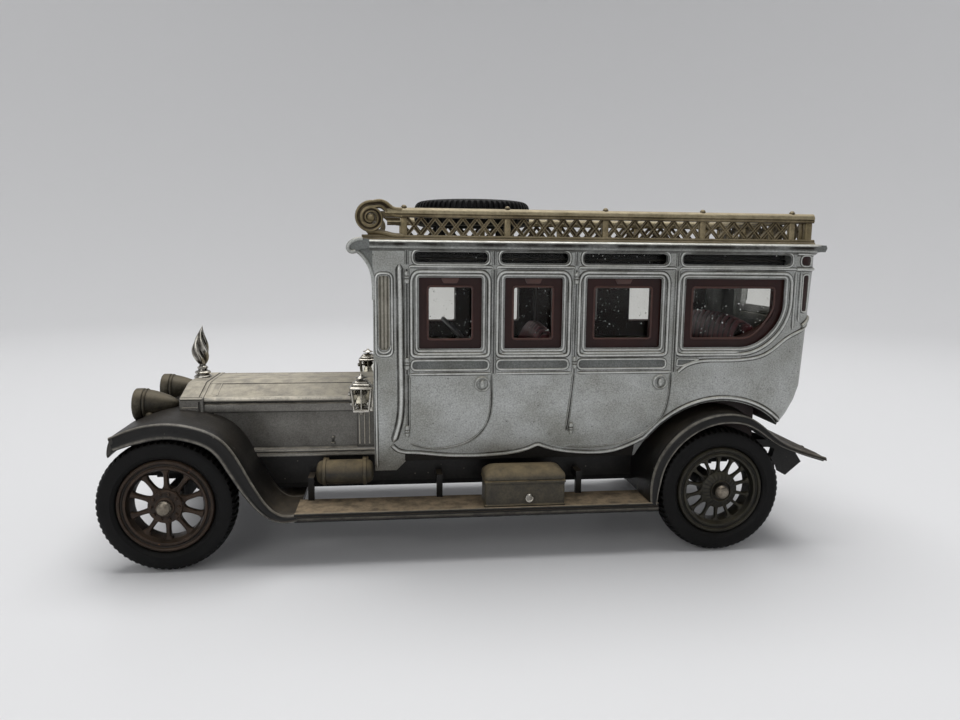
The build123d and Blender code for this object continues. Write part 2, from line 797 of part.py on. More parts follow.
# ------------------------------------------------------------------ bonnet and radiator
crease = 6.0
bonnet_outline = (
    (-bonnet_half_width, rail_top),
    (-bonnet_half_width, bonnet_shoulder),
    (-crease, bonnet_top - 0.4),
    (-crease + 2, bonnet_top),
    (crease - 2, bonnet_top),
    (crease, bonnet_top - 0.4),
    (bonnet_half_width, bonnet_shoulder),
    (bonnet_half_width, rail_top),
)
w = bonnet_wall
bonnet_hollow = (
    (-bonnet_half_width + w, rail_top - 1),
    (-bonnet_half_width + w, bonnet_shoulder - w * 0.6),
    (-crease, bonnet_top - 0.4 - w),
    (crease, bonnet_top - 0.4 - w),
    (bonnet_half_width - w, bonnet_shoulder - w * 0.6),
    (bonnet_half_width - w, rail_top - 1),
)
bonnet = end_plate(bonnet_outline, (bonnet_front, dash)) - end_plate(bonnet_hollow, (bonnet_front - 1, dash - 1.2))
pieces["bonnet"] = bonnet

radiator_shoulder = bonnet_shoulder + 0.1
radiator_outline = (
    (-radiator_half_width, rail_top),
    (-radiator_half_width, radiator_shoulder),
    (-5.0, bonnet_top),
    (5.0, bonnet_top),
    (radiator_half_width, radiator_shoulder),
    (radiator_half_width, rail_top),
)
core_border = 1.3
core_outline = (
    (-radiator_half_width + core_border, rail_top + core_border),
    (-radiator_half_width + core_border, radiator_shoulder - core_border * 0.9),
    (-5.0, bonnet_top - core_border),
    (5.0, bonnet_top - core_border),
    (radiator_half_width - core_border, radiator_shoulder - core_border * 0.9),
    (radiator_half_width - core_border, rail_top + core_border),
)
core_recess = 0.7
radiator = end_plate(radiator_outline, (radiator_front, bonnet_front))
core_back = bonnet_front - 1.0
pieces["radiator_shell"] = radiator - end_plate(core_outline, (radiator_front - 1, core_back))
pieces["radiator_core"] = end_plate(core_outline, (radiator_front + core_recess, core_back))

finial_profile = (
    (0, 0),
    (1.1, 0),
    (1.2, 0.5),
    (1.5, 0.8),
    (0.9, 1.6),
    (0.6, 3.0),
    (1.0, 4.7),
    (1.05, 5.6),
    (0.55, 7.0),
    (0.75, 8.0),
    (0.45, 8.9),
    (0, 9.2),
)
pieces["cap_finial"] = turned(finial_profile, (radiator_front + 1.3, 0, bonnet_top), (0, 0, 1))

# ------------------------------------------------------------------ lamps
lamp_front = radiator_front - 7.7
lamp_length = 7.0
lamp_profile = (
    (0, 0.9),
    (headlamp_radius - 0.4, 0.9),
    (headlamp_radius - 0.4, 0.0),
    (headlamp_radius, 0.0),
    (headlamp_radius, 1.6),
    (headlamp_radius - 0.35, 2.0),
    (headlamp_radius - 0.5, 3.2),
    (1.2, 6.2),
    (0.6, lamp_length),
    (0, lamp_length),
)
lamp_body = turned(lamp_profile, (lamp_front, -headlamp_centre_y, headlamp_centre_z), (1, 0, 0))
stem_x = lamp_front + 4.0
stem_y = -(headlamp_centre_y + rail_centre) / 2
lamp_stem = rod((stem_x, stem_y, rail_top), (stem_x, stem_y, headlamp_centre_z - 1.0), 0.55)
knob_z = headlamp_centre_z - 0.9
knob_y = (-headlamp_centre_y - 1.5, -headlamp_centre_y - headlamp_radius)
side_knob = cross_rod(lamp_front + 2.6, knob_z, knob_y, 0.4)
both_sides("headlight", fuse([lamp_body, lamp_stem, side_knob]))
lens_profile = (
    (0, 0.2),
    (headlamp_radius - 0.4 - fit_gap, 0.45),
    (headlamp_radius - 0.4 - fit_gap, 0.88),
    (0, 0.88),
)
lens = turned(lens_profile, (lamp_front, -headlamp_centre_y, headlamp_centre_z), (1, 0, 0))
pieces["headlight_lenses"] = pair(lens)

lamp_x = (dash - 4.2, dash - 0.2)
lamp_y = (-side_lamp_y - side_lamp_half, -side_lamp_y + side_lamp_half)
lamp_low = 24.4
lamp_high = 28.2
cage = block(lamp_x, lamp_y, (lamp_low, lamp_high))
post = 0.45
glass_gap = fit_gap
cage = cage - block(
    (lamp_x[0] + post, lamp_x[1] - post), (lamp_y[0] - 1, lamp_y[1] + 1), (lamp_low + 0.8, lamp_high - 0.6)
)
cage = cage - block(
    (lamp_x[0] - 1, lamp_x[1] - post), (lamp_y[0] + post, lamp_y[1] - post), (lamp_low + 0.8, lamp_high - 0.6)
)
lamp_mid = ((lamp_x[0] + lamp_x[1]) / 2, -side_lamp_y)
lamp_roof = turned(
    ((0, 0), (1.7, 0), (1.5, 0.5), (0.7, 0.9), (0.5, 1.2), (0.6, 1.5), (0.3, 1.9), (0, 2.0)),
    (lamp_mid[0], lamp_mid[1], lamp_high),
    (0, 0, 1),
)
lamp_foot = turned(
    ((0, 0), (0.5, 0), (0.6, 0.4), (1.5, 1.0), (0, 1.0)), (lamp_mid[0], lamp_mid[1], lamp_low - 1.0), (0, 0, 1)
)
lamp_arm = block((lamp_mid[0], dash), (-side_lamp_y - 0.4, -side_lamp_y + 0.4), (lamp_low - 0.7, lamp_low + 0.1))
both_sides("side_lamp", fuse([cage, lamp_roof, lamp_foot, lamp_arm]))
inset = post + glass_gap
lamp_glass = block(
    (lamp_x[0] + inset, lamp_x[1] - inset),
    (lamp_y[0] + inset, lamp_y[1] - inset),
    (lamp_low + 0.8 + glass_gap, lamp_high - 0.6 - glass_gap),
)
pieces["side_lamp_glass"] = pair(lamp_glass)

# ------------------------------------------------------------------ load on the left board
tank_radius = 2.2
tank_front = dash - 9.7
tank_rear = dash - 0.3
tank_y = -rail_outer - 3.1
tank_z = rail_bottom + 2.65
round_over = 0.7
tank_profile = (
    (0, 0),
    (tank_radius - round_over, 0),
    (tank_radius, round_over),
    (tank_radius, tank_rear - tank_front - round_over),
    (tank_radius - round_over, tank_rear - tank_front),
    (0, tank_rear - tank_front),
)
tank = turned(tank_profile, (tank_front, tank_y, tank_z), (1, 0, 0))
straps = []
for x in (tank_front + 2.0, tank_rear - 2.0):
    straps.append(cross_rod(x, tank_z, (-rail_outer, tank_y), 0.6))
pieces["fuel_tank"] = fuse([tank, *straps])

box_front = front_axle + 49.4
box_rear = box_front + box_length
box_y = (-wheel_outer_face + 0.9, -wheel_outer_face + 6.4)
box_low = board_top
lid_low = box_low + box_height - box_lid_height
case = block((box_front, box_rear), box_y, (box_low, lid_low))
pieces["tool_box"] = case
lid = block((box_front, box_rear), box_y, (lid_low, box_low + box_height))
lid_edges = [edge for edge in lid.edges() if edge.center().Z > lid_low + 1.0]
pieces["tool_box_lid"] = chamfer(lid_edges, 0.5)
clasp_x = (box_front + box_rear) / 2 + 0.6
pieces["tool_box_clasp"] = cross_rod(clasp_x, box_low + 1.6, (box_y[0] - 0.5, box_y[0]), 0.8)

# ------------------------------------------------------------------ roof rack and spare tyre
rack_front = dash + 1.4
rack_rear = body_rear - 1.6
post_stations = [
    dash + front_quarter - 0.35,
    dash + front_quarter + bays[0][0] + 2.1,
    dash + front_quarter + bays[0][0] + bays[1][0] + 4.7,
    dash + front_quarter + sum(bay[0] for bay in bays[:3]) + 4.1,
    body_rear - 5.2,
]
base_high = roof_top + rack_base_height
lattice_high = base_high + rack_lattice_height
post_width = 1.0
lattice_pitch = 2.3
lattice_bar = 0.42


def lattice_panel(front, rear, y):
    """Crossed bars between two posts: a plate with diamond and half-diamond holes."""
    cells = max(1, round((rear - front) / lattice_pitch))
    pitch = (rear - front) / cells
    low, high = base_high, lattice_high
    half_height = (high - low) / 2
    middle = (low + high) / 2
    shrink_x = lattice_bar * 0.8
    shrink_z = lattice_bar * 0.8 * 2 * half_height / pitch
    outline = Wire(Polyline((front, y, low), (rear, y, low), (rear, y, high), (front, y, high), close=True).edges())
    holes = []
    for index in range(cells):
        centre = front + pitch * (index + 0.5)
        for sign, level in ((1, high), (-1, low)):
            reach = pitch / 2 - shrink_x - 0.12
            depth = half_height - shrink_z - 0.12
            holes.append(
                ((centre - reach, level - sign * 0.14), (centre + reach, level - sign * 0.14),
                 (centre, level - sign * (0.14 + depth)))
            )
    for index in range(1, cells):
        edge = front + pitch * index
        holes.append(
            ((edge - pitch / 2 + shrink_x, middle), (edge, middle + half_height - shrink_z),
             (edge + pitch / 2 - shrink_x, middle), (edge, middle - half_height + shrink_z))
        )
    rings = [Wire(Polyline(*[(x, y, z) for x, z in hole], close=True).edges()) for hole in holes]
    return extrude(Face(outline, rings), rack_width * 0.6, dir=(0, 1, 0))


def rack_side():
    """The left rack rail: base strip, posts, lattice bays, top rail and the scroll at its front."""
    y = (-rack_y - rack_width / 2, -rack_y + rack_width / 2)
    wide = (-rack_y - rack_width * 0.8, -rack_y + rack_width * 0.8)
    parts = [
        block((rack_front, rack_rear), y, (roof_top, base_high)),
        block((rack_front - 0.4, rack_rear), wide, (lattice_high, rack_top)),
    ]
    for x in post_stations:
        parts.append(block((x - post_width / 2, x + post_width / 2), y, (roof_top, lattice_high)))
        parts.append(block((x - 0.4, x + 0.4), (-rack_y - 0.4, -rack_y + 0.4), (rack_top, rack_top + 0.35)))
    for front, rear in zip(post_stations, post_stations[1:]):
        parts.append(lattice_panel(front + post_width / 2, rear - post_width / 2, y[0] + rack_width * 0.2))
    scroll_x = dash - 0.2
    scroll_z = roof_top + 3.5
    scroll = cross_rod(scroll_x, scroll_z, wide, 2.6) - cross_rod(scroll_x, scroll_z, (wide[0] - 1, wide[0] + 0.4), 1.5)
    parts.append(scroll)
    parts.append(block((scroll_x - 0.2, rack_front + 1.5), y, (roof_top + 0.3, roof_top + 1.6)))
    return fuse(parts)


both_sides("rack_rail", rack_side())
cross_half = rack_y - rack_width * 0.8 - fit_gap
rear_rail_x = (rack_rear - 1.6, rack_rear)
rear_parts = [
    block((rack_rear - 1.3, rack_rear - 0.3), (-cross_half, cross_half), (roof_top, base_high)),
    block(rear_rail_x, (-cross_half, cross_half), (lattice_high, rack_top)),
]
for index in range(7):
    y = -cross_half + 0.5 + (2 * cross_half - 1.0) * index / 6
    rear_parts.append(block((rack_rear - 1.3, rack_rear - 0.3), (y - 0.5, y + 0.5), (roof_top, lattice_high)))
pieces["rack_rear_rail"] = fuse(rear_parts)

spare_x = dash + 17.2
spare_hole = 6.4
spare_profile = (
    (spare_hole, 0.6),
    (spare_hole + 0.8, 0),
    (spare_radius - 0.9, 0),
    (spare_radius, 0.9),
    (spare_radius, spare_height - 0.9),
    (spare_radius - 0.9, spare_height),
    (spare_hole + 0.8, spare_height),
    (spare_hole, spare_height - 0.6),
)
spare_base = roof_top + 2.7
spare = turned(spare_profile, (spare_x, 0, spare_base), (0, 0, 1))
spare_feet = []
for turn in (45, 135, 225, 315):
    reach = (spare_hole + spare_radius) / 2
    place = (spare_x + reach * cos(radians(turn)), reach * sin(radians(turn)))
    spare_feet.append(rod((*place, roof_top), (*place, spare_base + 0.2), 0.8))
pieces["spare_tyre"] = fuse([spare, *spare_feet])

# ------------------------------------------------------------------ write every piece
if __name__ == "__main__":
    os.makedirs("parts", exist_ok=True)
    for name, piece in pieces.items():
        export_step(piece, f"parts/{name}.step")
    print(len(pieces), "pieces, overall length", round(overall_length, 2))
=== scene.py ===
# %% [markdown]
# # Dressing a diecast collector car
# The car is a small coach-bodied limousine of about 1912, cast in zinc alloy at roughly 1:45, with vinyl
# tyres, clear and maroon mouldings inside, and many years of dust on it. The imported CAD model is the
# frame: it fixes every place and size, so each step below asks it for numbers and never moves it.
# The real toy's charm is in its castings, so most pieces here are surfaces worked out with numpy: a
# profile carried along a path, or turned about an axis. That is how the tooling for such a toy is cut too.

import json
from math import cos, pi, radians, sin

import bmesh
import bpy
import numpy as np
from mathutils import Matrix, Vector


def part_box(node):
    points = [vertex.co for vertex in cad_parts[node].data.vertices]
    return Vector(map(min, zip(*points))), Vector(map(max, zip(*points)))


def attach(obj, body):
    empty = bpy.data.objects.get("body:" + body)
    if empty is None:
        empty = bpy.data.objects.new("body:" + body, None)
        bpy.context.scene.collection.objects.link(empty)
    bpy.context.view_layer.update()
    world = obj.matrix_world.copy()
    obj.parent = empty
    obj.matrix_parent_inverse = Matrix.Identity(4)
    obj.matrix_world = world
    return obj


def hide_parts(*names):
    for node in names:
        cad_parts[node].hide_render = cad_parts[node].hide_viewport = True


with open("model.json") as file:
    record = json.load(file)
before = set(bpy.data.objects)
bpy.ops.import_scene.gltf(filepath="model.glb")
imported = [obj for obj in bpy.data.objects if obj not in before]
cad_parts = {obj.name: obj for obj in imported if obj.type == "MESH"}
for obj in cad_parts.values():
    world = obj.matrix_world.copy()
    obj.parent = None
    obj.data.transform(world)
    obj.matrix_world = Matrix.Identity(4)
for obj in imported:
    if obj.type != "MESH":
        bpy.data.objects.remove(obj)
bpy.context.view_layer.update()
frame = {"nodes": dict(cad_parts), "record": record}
MM = 0.001
node_body = {n: body for body, members in frame["record"]["behaviour"]["bodies"].items() for n in members}


def span(node):
    """The lowest and highest corner of a CAD node, in millimetres, as two arrays."""
    low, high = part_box(node)
    return np.array(low) / MM, np.array(high) / MM


# %% [markdown]
# ## Which finish each CAD node belongs to
# The record names ten finishes. This list says which nodes each one covers.

# %% Finish slots of the nodes
slot_nodes = {
    "silver_enamel": "body_shell roof_panel bonnet radiator_shell door_handles door_hinges",
    "black_enamel": "front_fender_left front_fender_right rear_fender_left rear_fender_right "
    "running_board_left running_board_right board_brackets rear_hangers chassis_rails cross_members "
    "base_plate front_springs rear_springs front_axle_beam rear_axle_casing fuel_tank tool_box "
    "tool_box_lid radiator_core",
    "steel": "front_axle_pin rear_axle_pin tool_box_clasp",
    "red_moulding": "window_frames floor_tub partition front_seat rear_seat steering_wheel steering_column",
    "clear_moulding": "side_glazing end_glazing headlight_lenses side_lamp_glass",
    "gold_moulding": "rack_rail_left rack_rail_right rack_rear_rail",
    "bright_plating": "cap_finial side_lamp_left side_lamp_right",
    "dark_bronze": "headlight_left headlight_right",
    "black_rubber": "front_left_tyre front_right_tyre rear_left_tyre rear_right_tyre spare_tyre",
    "wheel_bronze": "front_left_rim front_right_rim rear_left_rim rear_right_rim "
    "front_left_hub front_right_hub rear_left_hub rear_right_hub",
}
node_slot = {node: slot for slot, nodes in slot_nodes.items() for node in nodes.split()}
print("nodes without a finish:", sorted(set(frame["nodes"]) - set(node_slot)))

# %% [markdown]
# ## Reading the car's main sizes from the frame
# Axle places, the coach's width and the roof's height are all asked of the CAD nodes. The few numbers that
# a bounding box can't give, such as where a bay begins, are the same driving sizes that the CAD source uses.

# %% Main sizes in millimetres
front_axle = sum(c[0] for c in span("front_axle_beam")) / 2
rear_axle = sum(c[0] for c in span("rear_axle_casing")) / 2
tyre_radius = span("front_left_tyre")[1][2] / 2
axle_height = tyre_radius
wheel_face = -span("front_left_tyre")[0][1]
tyre_width = span("front_left_tyre")[1][1] + wheel_face
wheel_centre_y = wheel_face - tyre_width / 2
dash = span("body_shell")[0][0]
body_half_width = span("body_shell")[1][1]
body_top = span("body_shell")[1][2]
roof_top = body_top + 1.1
bonnet_front, bonnet_half_width = span("bonnet")[0][0], span("bonnet")[1][1]
tail = span("rear_fender_left")[1][0]
window_sill, window_head = 34.2, 45.8
bay_widths = (13.75, 13.25, 16.8, 21.0)
opening_setbacks = (1.7, 1.55, 1.6, 1.3)
opening_widths = (10.3, 9.7, 12.8, 17.4)
bay_edges = dash + 5.25 + np.concatenate([[0.0], np.cumsum(bay_widths)])
windows = [(e + s, e + s + w) for e, s, w in zip(bay_edges, opening_setbacks, opening_widths)]
print("wheelbase", round(rear_axle - front_axle, 2), "dash", round(dash, 2), "bays", np.round(bay_edges, 2))

# %% [markdown]
# ## One way to put a surface into a mesh
# Every new piece is made of shells. A shell is a grid of points: one parameter runs along a path or round
# an axis, the other round a section. The grid may close on itself either way, and open ends get a cap.
# Blender could also skin curves or use Screw and Bevel modifiers, but a grid gives exact control over
# each groove and costs nothing to build. A closed shell's signed volume says which way its faces point.


# %% Shells, pieces and shading
def shell(points, close_u=False, close_v=True, cap=True, grime_and_shade=None):
    """A grid of points (nu, nv, 3) as one closed surface: quads between neighbours, caps on open ends."""
    points = np.asarray(points, float)
    nu, nv = points.shape[:2]
    index = np.arange(nu * nv).reshape(nu, nv)
    rows = index if not close_u else np.vstack([index, index[:1]])
    rows = rows if not close_v else np.hstack([rows, rows[:, :1]])
    quads = np.stack([rows[:-1, :-1], rows[1:, :-1], rows[1:, 1:], rows[:-1, 1:]], -1).reshape(-1, 4)
    faces = quads.tolist()
    if cap and not close_u:
        faces += [index[0].tolist(), index[-1, ::-1].tolist()]
    vertices = points.reshape(-1, 3)
    a, b, c, d = (vertices[quads[:, k]] for k in range(4))
    volume = np.einsum("ij,ij->i", a, np.cross(b, c)).sum() + np.einsum("ij,ij->i", a, np.cross(c, d)).sum()
    if cap and not close_u:
        for ring, sign in ((points[0], 1), (points[-1], -1)):
            middle = ring.mean(0)
            following = np.roll(ring, -1, 0)
            volume += sign * np.einsum("j,ij->i", middle, np.cross(ring, following)).sum()
    if volume < 0:
        faces = [face[::-1] for face in faces]
    # the per-point attribute: dirt and painted shade in recesses, below 0 wear and a painted highlight on
    # crests
    shade = np.zeros(nu * nv) if grime_and_shade is None else np.broadcast_to(grime_and_shade, (nu, nv)).reshape(-1)
    return vertices, faces, shade


def shifted(shells, move=(0, 0, 0), mirror=False):
    """The same shells moved, or mirrored across the car's middle plane with their faces turned back out."""
    made = []
    for vertices, faces, shade in shells:
        vertices = vertices + np.array(move, float)
        if mirror:
            vertices = vertices * np.array([1, -1, 1])
            faces = [face[::-1] for face in faces]
        made.append((vertices, faces, shade))
    return made


def make(name, shells, finish, body="car", slot=None, replaces=(), angle=32):
    """Joins shells into one piece of the given finish, smooth except where faces meet above an angle."""
    starts = np.cumsum([0] + [len(s[0]) for s in shells])
    vertices = np.vstack([s[0] for s in shells]) * MM
    faces = [[v + start for v in face] for s, start in zip(shells, starts.tolist()) for face in s[1]]
    mesh = bpy.data.meshes.new(name)
    mesh.from_pydata(vertices.tolist(), [], faces)
    # one attribute carries dirt and painted shade in recesses, and below 0 wear and a painted highlight on
    # crests
    shade = mesh.attributes.new("grime_and_shade", "FLOAT", "POINT")
    shade.data.foreach_set("value", np.concatenate([s[2] for s in shells]).astype(np.float32))
    joined = bmesh.new()
    joined.from_mesh(mesh)
    bmesh.ops.remove_doubles(joined, verts=joined.verts, dist=1e-8)
    joined.to_mesh(mesh)
    joined.free()
    mesh.polygons.foreach_set("use_smooth", np.ones(len(mesh.polygons), bool))
    mesh.set_sharp_from_angle(angle=radians(angle))
    mesh.materials.append(finish)
    piece = bpy.data.objects.new(name, mesh)
    bpy.context.scene.collection.objects.link(piece)
    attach(piece, body)
    if replaces:
        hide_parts(*replaces)
        slot = slot or node_slot[replaces[0]]
    print(f"{name}: {len(vertices)} points, {len(faces)} faces")
    return piece


def smoothed(node, finish, name=None, angle=32):
    """A copy of a CAD node's mesh with its loose triangles joined, so that its round faces shade smoothly."""
    mesh = frame["nodes"][node].data.copy()
    loose = bmesh.new()
    loose.from_mesh(mesh)
    bmesh.ops.remove_doubles(loose, verts=loose.verts, dist=1e-7)
    loose.to_mesh(mesh)
    loose.free()
    for layer in list(mesh.attributes):
        if layer.name == "custom_normal":
            mesh.attributes.remove(layer)
    mesh.materials.clear()
    mesh.materials.append(finish)
    mesh.polygons.foreach_set("use_smooth", np.ones(len(mesh.polygons), bool))
    mesh.set_sharp_from_angle(angle=radians(angle))
    piece = bpy.data.objects.new(name or node + "_casting", mesh)
    bpy.context.scene.collection.objects.link(piece)
    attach(piece, node_body[node])
    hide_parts(node)
    return piece


# %% Shapes that several pieces share
def turned(profile, origin, axis, steps=48, grime_and_shade=None):
    """A profile of (radius, distance) turned: point = origin + distance * axis + radius * spoke."""
    profile = np.array(profile, float)
    axis = np.array(axis, float) / np.linalg.norm(axis)
    side = np.cross(axis, [0.31, 0.2, 0.93])
    side /= np.linalg.norm(side)
    up = np.cross(axis, side)
    turn = np.linspace(0, 2 * pi, steps, endpoint=False)
    spoke = np.cos(turn)[:, None] * side + np.sin(turn)[:, None] * up
    points = np.array(origin) + profile[:, 1, None, None] * axis + profile[:, 0, None, None] * spoke
    closed = bool(np.allclose(profile[0], profile[-1]))
    points = points[:-1] if closed else points
    shade = None if grime_and_shade is None else np.array(grime_and_shade)[: len(points), None]
    return shell(points, close_u=closed, close_v=True, cap=not closed, grime_and_shade=shade)


def swept(path, section, normals, closed=False, grime_and_shade=None):
    """A section of (across, out) on a path: point = path + across * (normal x run) + out * normal."""
    path = np.asarray(path, float)
    section = np.broadcast_to(np.asarray(section, float), (len(path), *np.shape(section)[-2:]))
    if closed:
        run = np.roll(path, -1, 0) - np.roll(path, 1, 0)
    else:
        run = np.gradient(path, axis=0)
    run /= np.linalg.norm(run, axis=1, keepdims=True)
    normals = np.broadcast_to(np.asarray(normals, float), path.shape)
    normals = normals - np.sum(normals * run, 1, keepdims=True) * run
    normals /= np.linalg.norm(normals, axis=1, keepdims=True)
    across = np.cross(normals, run)
    points = path[:, None] + section[..., :1] * across[:, None] + section[..., 1:] * normals[:, None]
    shade = None if grime_and_shade is None else np.broadcast_to(grime_and_shade, points.shape[:2])
    return shell(points, close_u=closed, close_v=True, grime_and_shade=shade)


def smooth_line(points, count):
    """A natural cubic through the points, evenly spaced: bends are solved from the chord lengths."""
    points = np.asarray(points, float)
    chord = np.linalg.norm(np.diff(points, axis=0), axis=1)
    knots = np.concatenate([[0], np.cumsum(chord)])
    size = len(points)
    rows, values = np.eye(size), np.zeros_like(points)
    inner = np.arange(1, size - 1)
    rows[inner, inner - 1] = chord[:-1]
    rows[inner, inner] = 2 * (chord[:-1] + chord[1:])
    rows[inner, inner + 1] = chord[1:]
    slopes = np.diff(points, axis=0) / chord[:, None]
    values[1:-1] = 6 * np.diff(slopes, axis=0)
    bends = np.linalg.solve(rows, values)
    at = np.linspace(0, knots[-1], count)
    k = np.clip(np.searchsorted(knots, at, side="right") - 1, 0, size - 2)
    h, t = chord[k][:, None], (at - knots[k])[:, None]
    first, second = bends[k], bends[k + 1]
    lead = slopes[k] - h * (2 * first + second) / 6
    return points[k] + lead * t + first * t**2 / 2 + (second - first) * t**3 / (6 * h)


def rounded_line(corners, radius, closed=False, steps=6):
    """Straight runs between corners, each corner cut by a quadratic curve that starts a radius before it."""
    corners = np.asarray(corners, float)
    before, after = np.roll(corners, 1, 0) - corners, np.roll(corners, -1, 0) - corners
    reach_before = np.minimum(radius, np.linalg.norm(before, axis=1) * 0.49)[:, None]
    reach_after = np.minimum(radius, np.linalg.norm(after, axis=1) * 0.49)[:, None]
    start = corners + before / np.linalg.norm(before, axis=1)[:, None] * reach_before
    end = corners + after / np.linalg.norm(after, axis=1)[:, None] * reach_after
    t = np.linspace(0, 1, steps)[None, :, None]
    bend = (1 - t) ** 2 * start[:, None] + 2 * t * (1 - t) * corners[:, None] + t**2 * end[:, None]
    if closed:
        return bend.reshape(-1, corners.shape[1])
    middle = bend[1:-1].reshape(-1, corners.shape[1])
    return np.vstack([corners[:1], middle, corners[-1:]])


def evened(path, step, closed=False):
    """The same line with its points a step apart, by straight interpolation along its length."""
    path = np.vstack([path, path[:1]]) if closed else np.asarray(path, float)
    length = np.concatenate([[0], np.cumsum(np.linalg.norm(np.diff(path, axis=0), axis=1))])
    count = max(3, int(round(length[-1] / step)) + 1)
    at = np.linspace(0, length[-1], count)
    line = np.stack([np.interp(at, length, path[:, k]) for k in range(path.shape[1])], 1)
    return line[:-1] if closed else line


def rounded_block(low, high, radius, steps=4):
    """A block with rounded edges: a small ball's points, each octant pushed out to its own corner."""
    low, high = np.array(low, float), np.array(high, float)
    half = (high - low) / 2 - radius
    quarter = (np.arange(steps) + 0.5) / steps * pi / 2
    turn = np.concatenate([quarter + pi / 2 * k for k in range(4)])
    rise = np.concatenate([quarter - pi / 2, quarter])
    rise[0], rise[-1] = -pi / 2 + 0.02, pi / 2 - 0.02
    out = np.stack(
        [np.cos(rise)[:, None] * np.cos(turn), np.cos(rise)[:, None] * np.sin(turn),
         np.broadcast_to(np.sin(rise)[:, None], (len(rise), len(turn)))], -1)
    return shell((low + high) / 2 + np.sign(out) * half + radius * out)


def ellipse_section(across, out, steps=12, sink=0.0):
    """A round section: across * cos, out * sin, sunk below the surface that it lies on."""
    turn = np.linspace(0, 2 * pi, steps, endpoint=False)
    return np.stack([across * np.cos(turn), out * np.sin(turn) - sink], 1)


print("helpers ready")

# %% [markdown]
# ## Finishes
# Each finish starts from what the real surface is and how it was made. They share one build-up: a base
# colour that drifts over a few millimetres, a fine grain from the paint or the mould, dirt and painted shade
# in recesses (pieces carry both as one attribute, 0 on crests and 1 in grooves; below 0 it paints rubbed
# wear and a painted highlight on crests), and dust on whatever faces up. Everything is driven by object
# coordinates in millimetres, so grain sizes below are real sizes.
# Image textures could do this too, but procedural grain stays sharp from any side and needs no unwrapping.


# %% The build-up that the finishes share
def linear(colour):
    """An sRGB hex colour as linear RGBA: each channel c becomes ((c + 0.055) / 1.055) ** 2.4."""
    channel = np.array([int(colour[k : k + 2], 16) for k in (1, 3, 5)]) / 255
    return [*np.where(channel <= 0.04045, channel / 12.92, ((channel + 0.055) / 1.055) ** 2.4), 1.0]


def add(tree, kind, inputs=None, **settings):
    """Adds a shader node; settings are its options, inputs are numbers, colours or nodes' outputs."""
    made = tree.nodes.new("ShaderNode" + kind)
    for key, value in settings.items():
        setattr(made, key, value)
    for key, value in (inputs or {}).items():
        if isinstance(value, bpy.types.NodeSocket):
            tree.links.new(value, made.inputs[key])
        else:
            made.inputs[key].default_value = value
    return made


def blank(name):
    """A new material with its shader, and object coordinates counted in millimetres."""
    finish = bpy.data.materials.new(name)
    finish.use_nodes = True
    tree = finish.node_tree
    shader = tree.nodes["Principled BSDF"]
    coordinates = add(tree, "TexCoord")
    place = add(tree, "Mapping", {"Vector": coordinates.outputs["Object"], "Scale": (1000, 1000, 1000)})
    return finish, tree, shader, coordinates, place.outputs["Vector"]


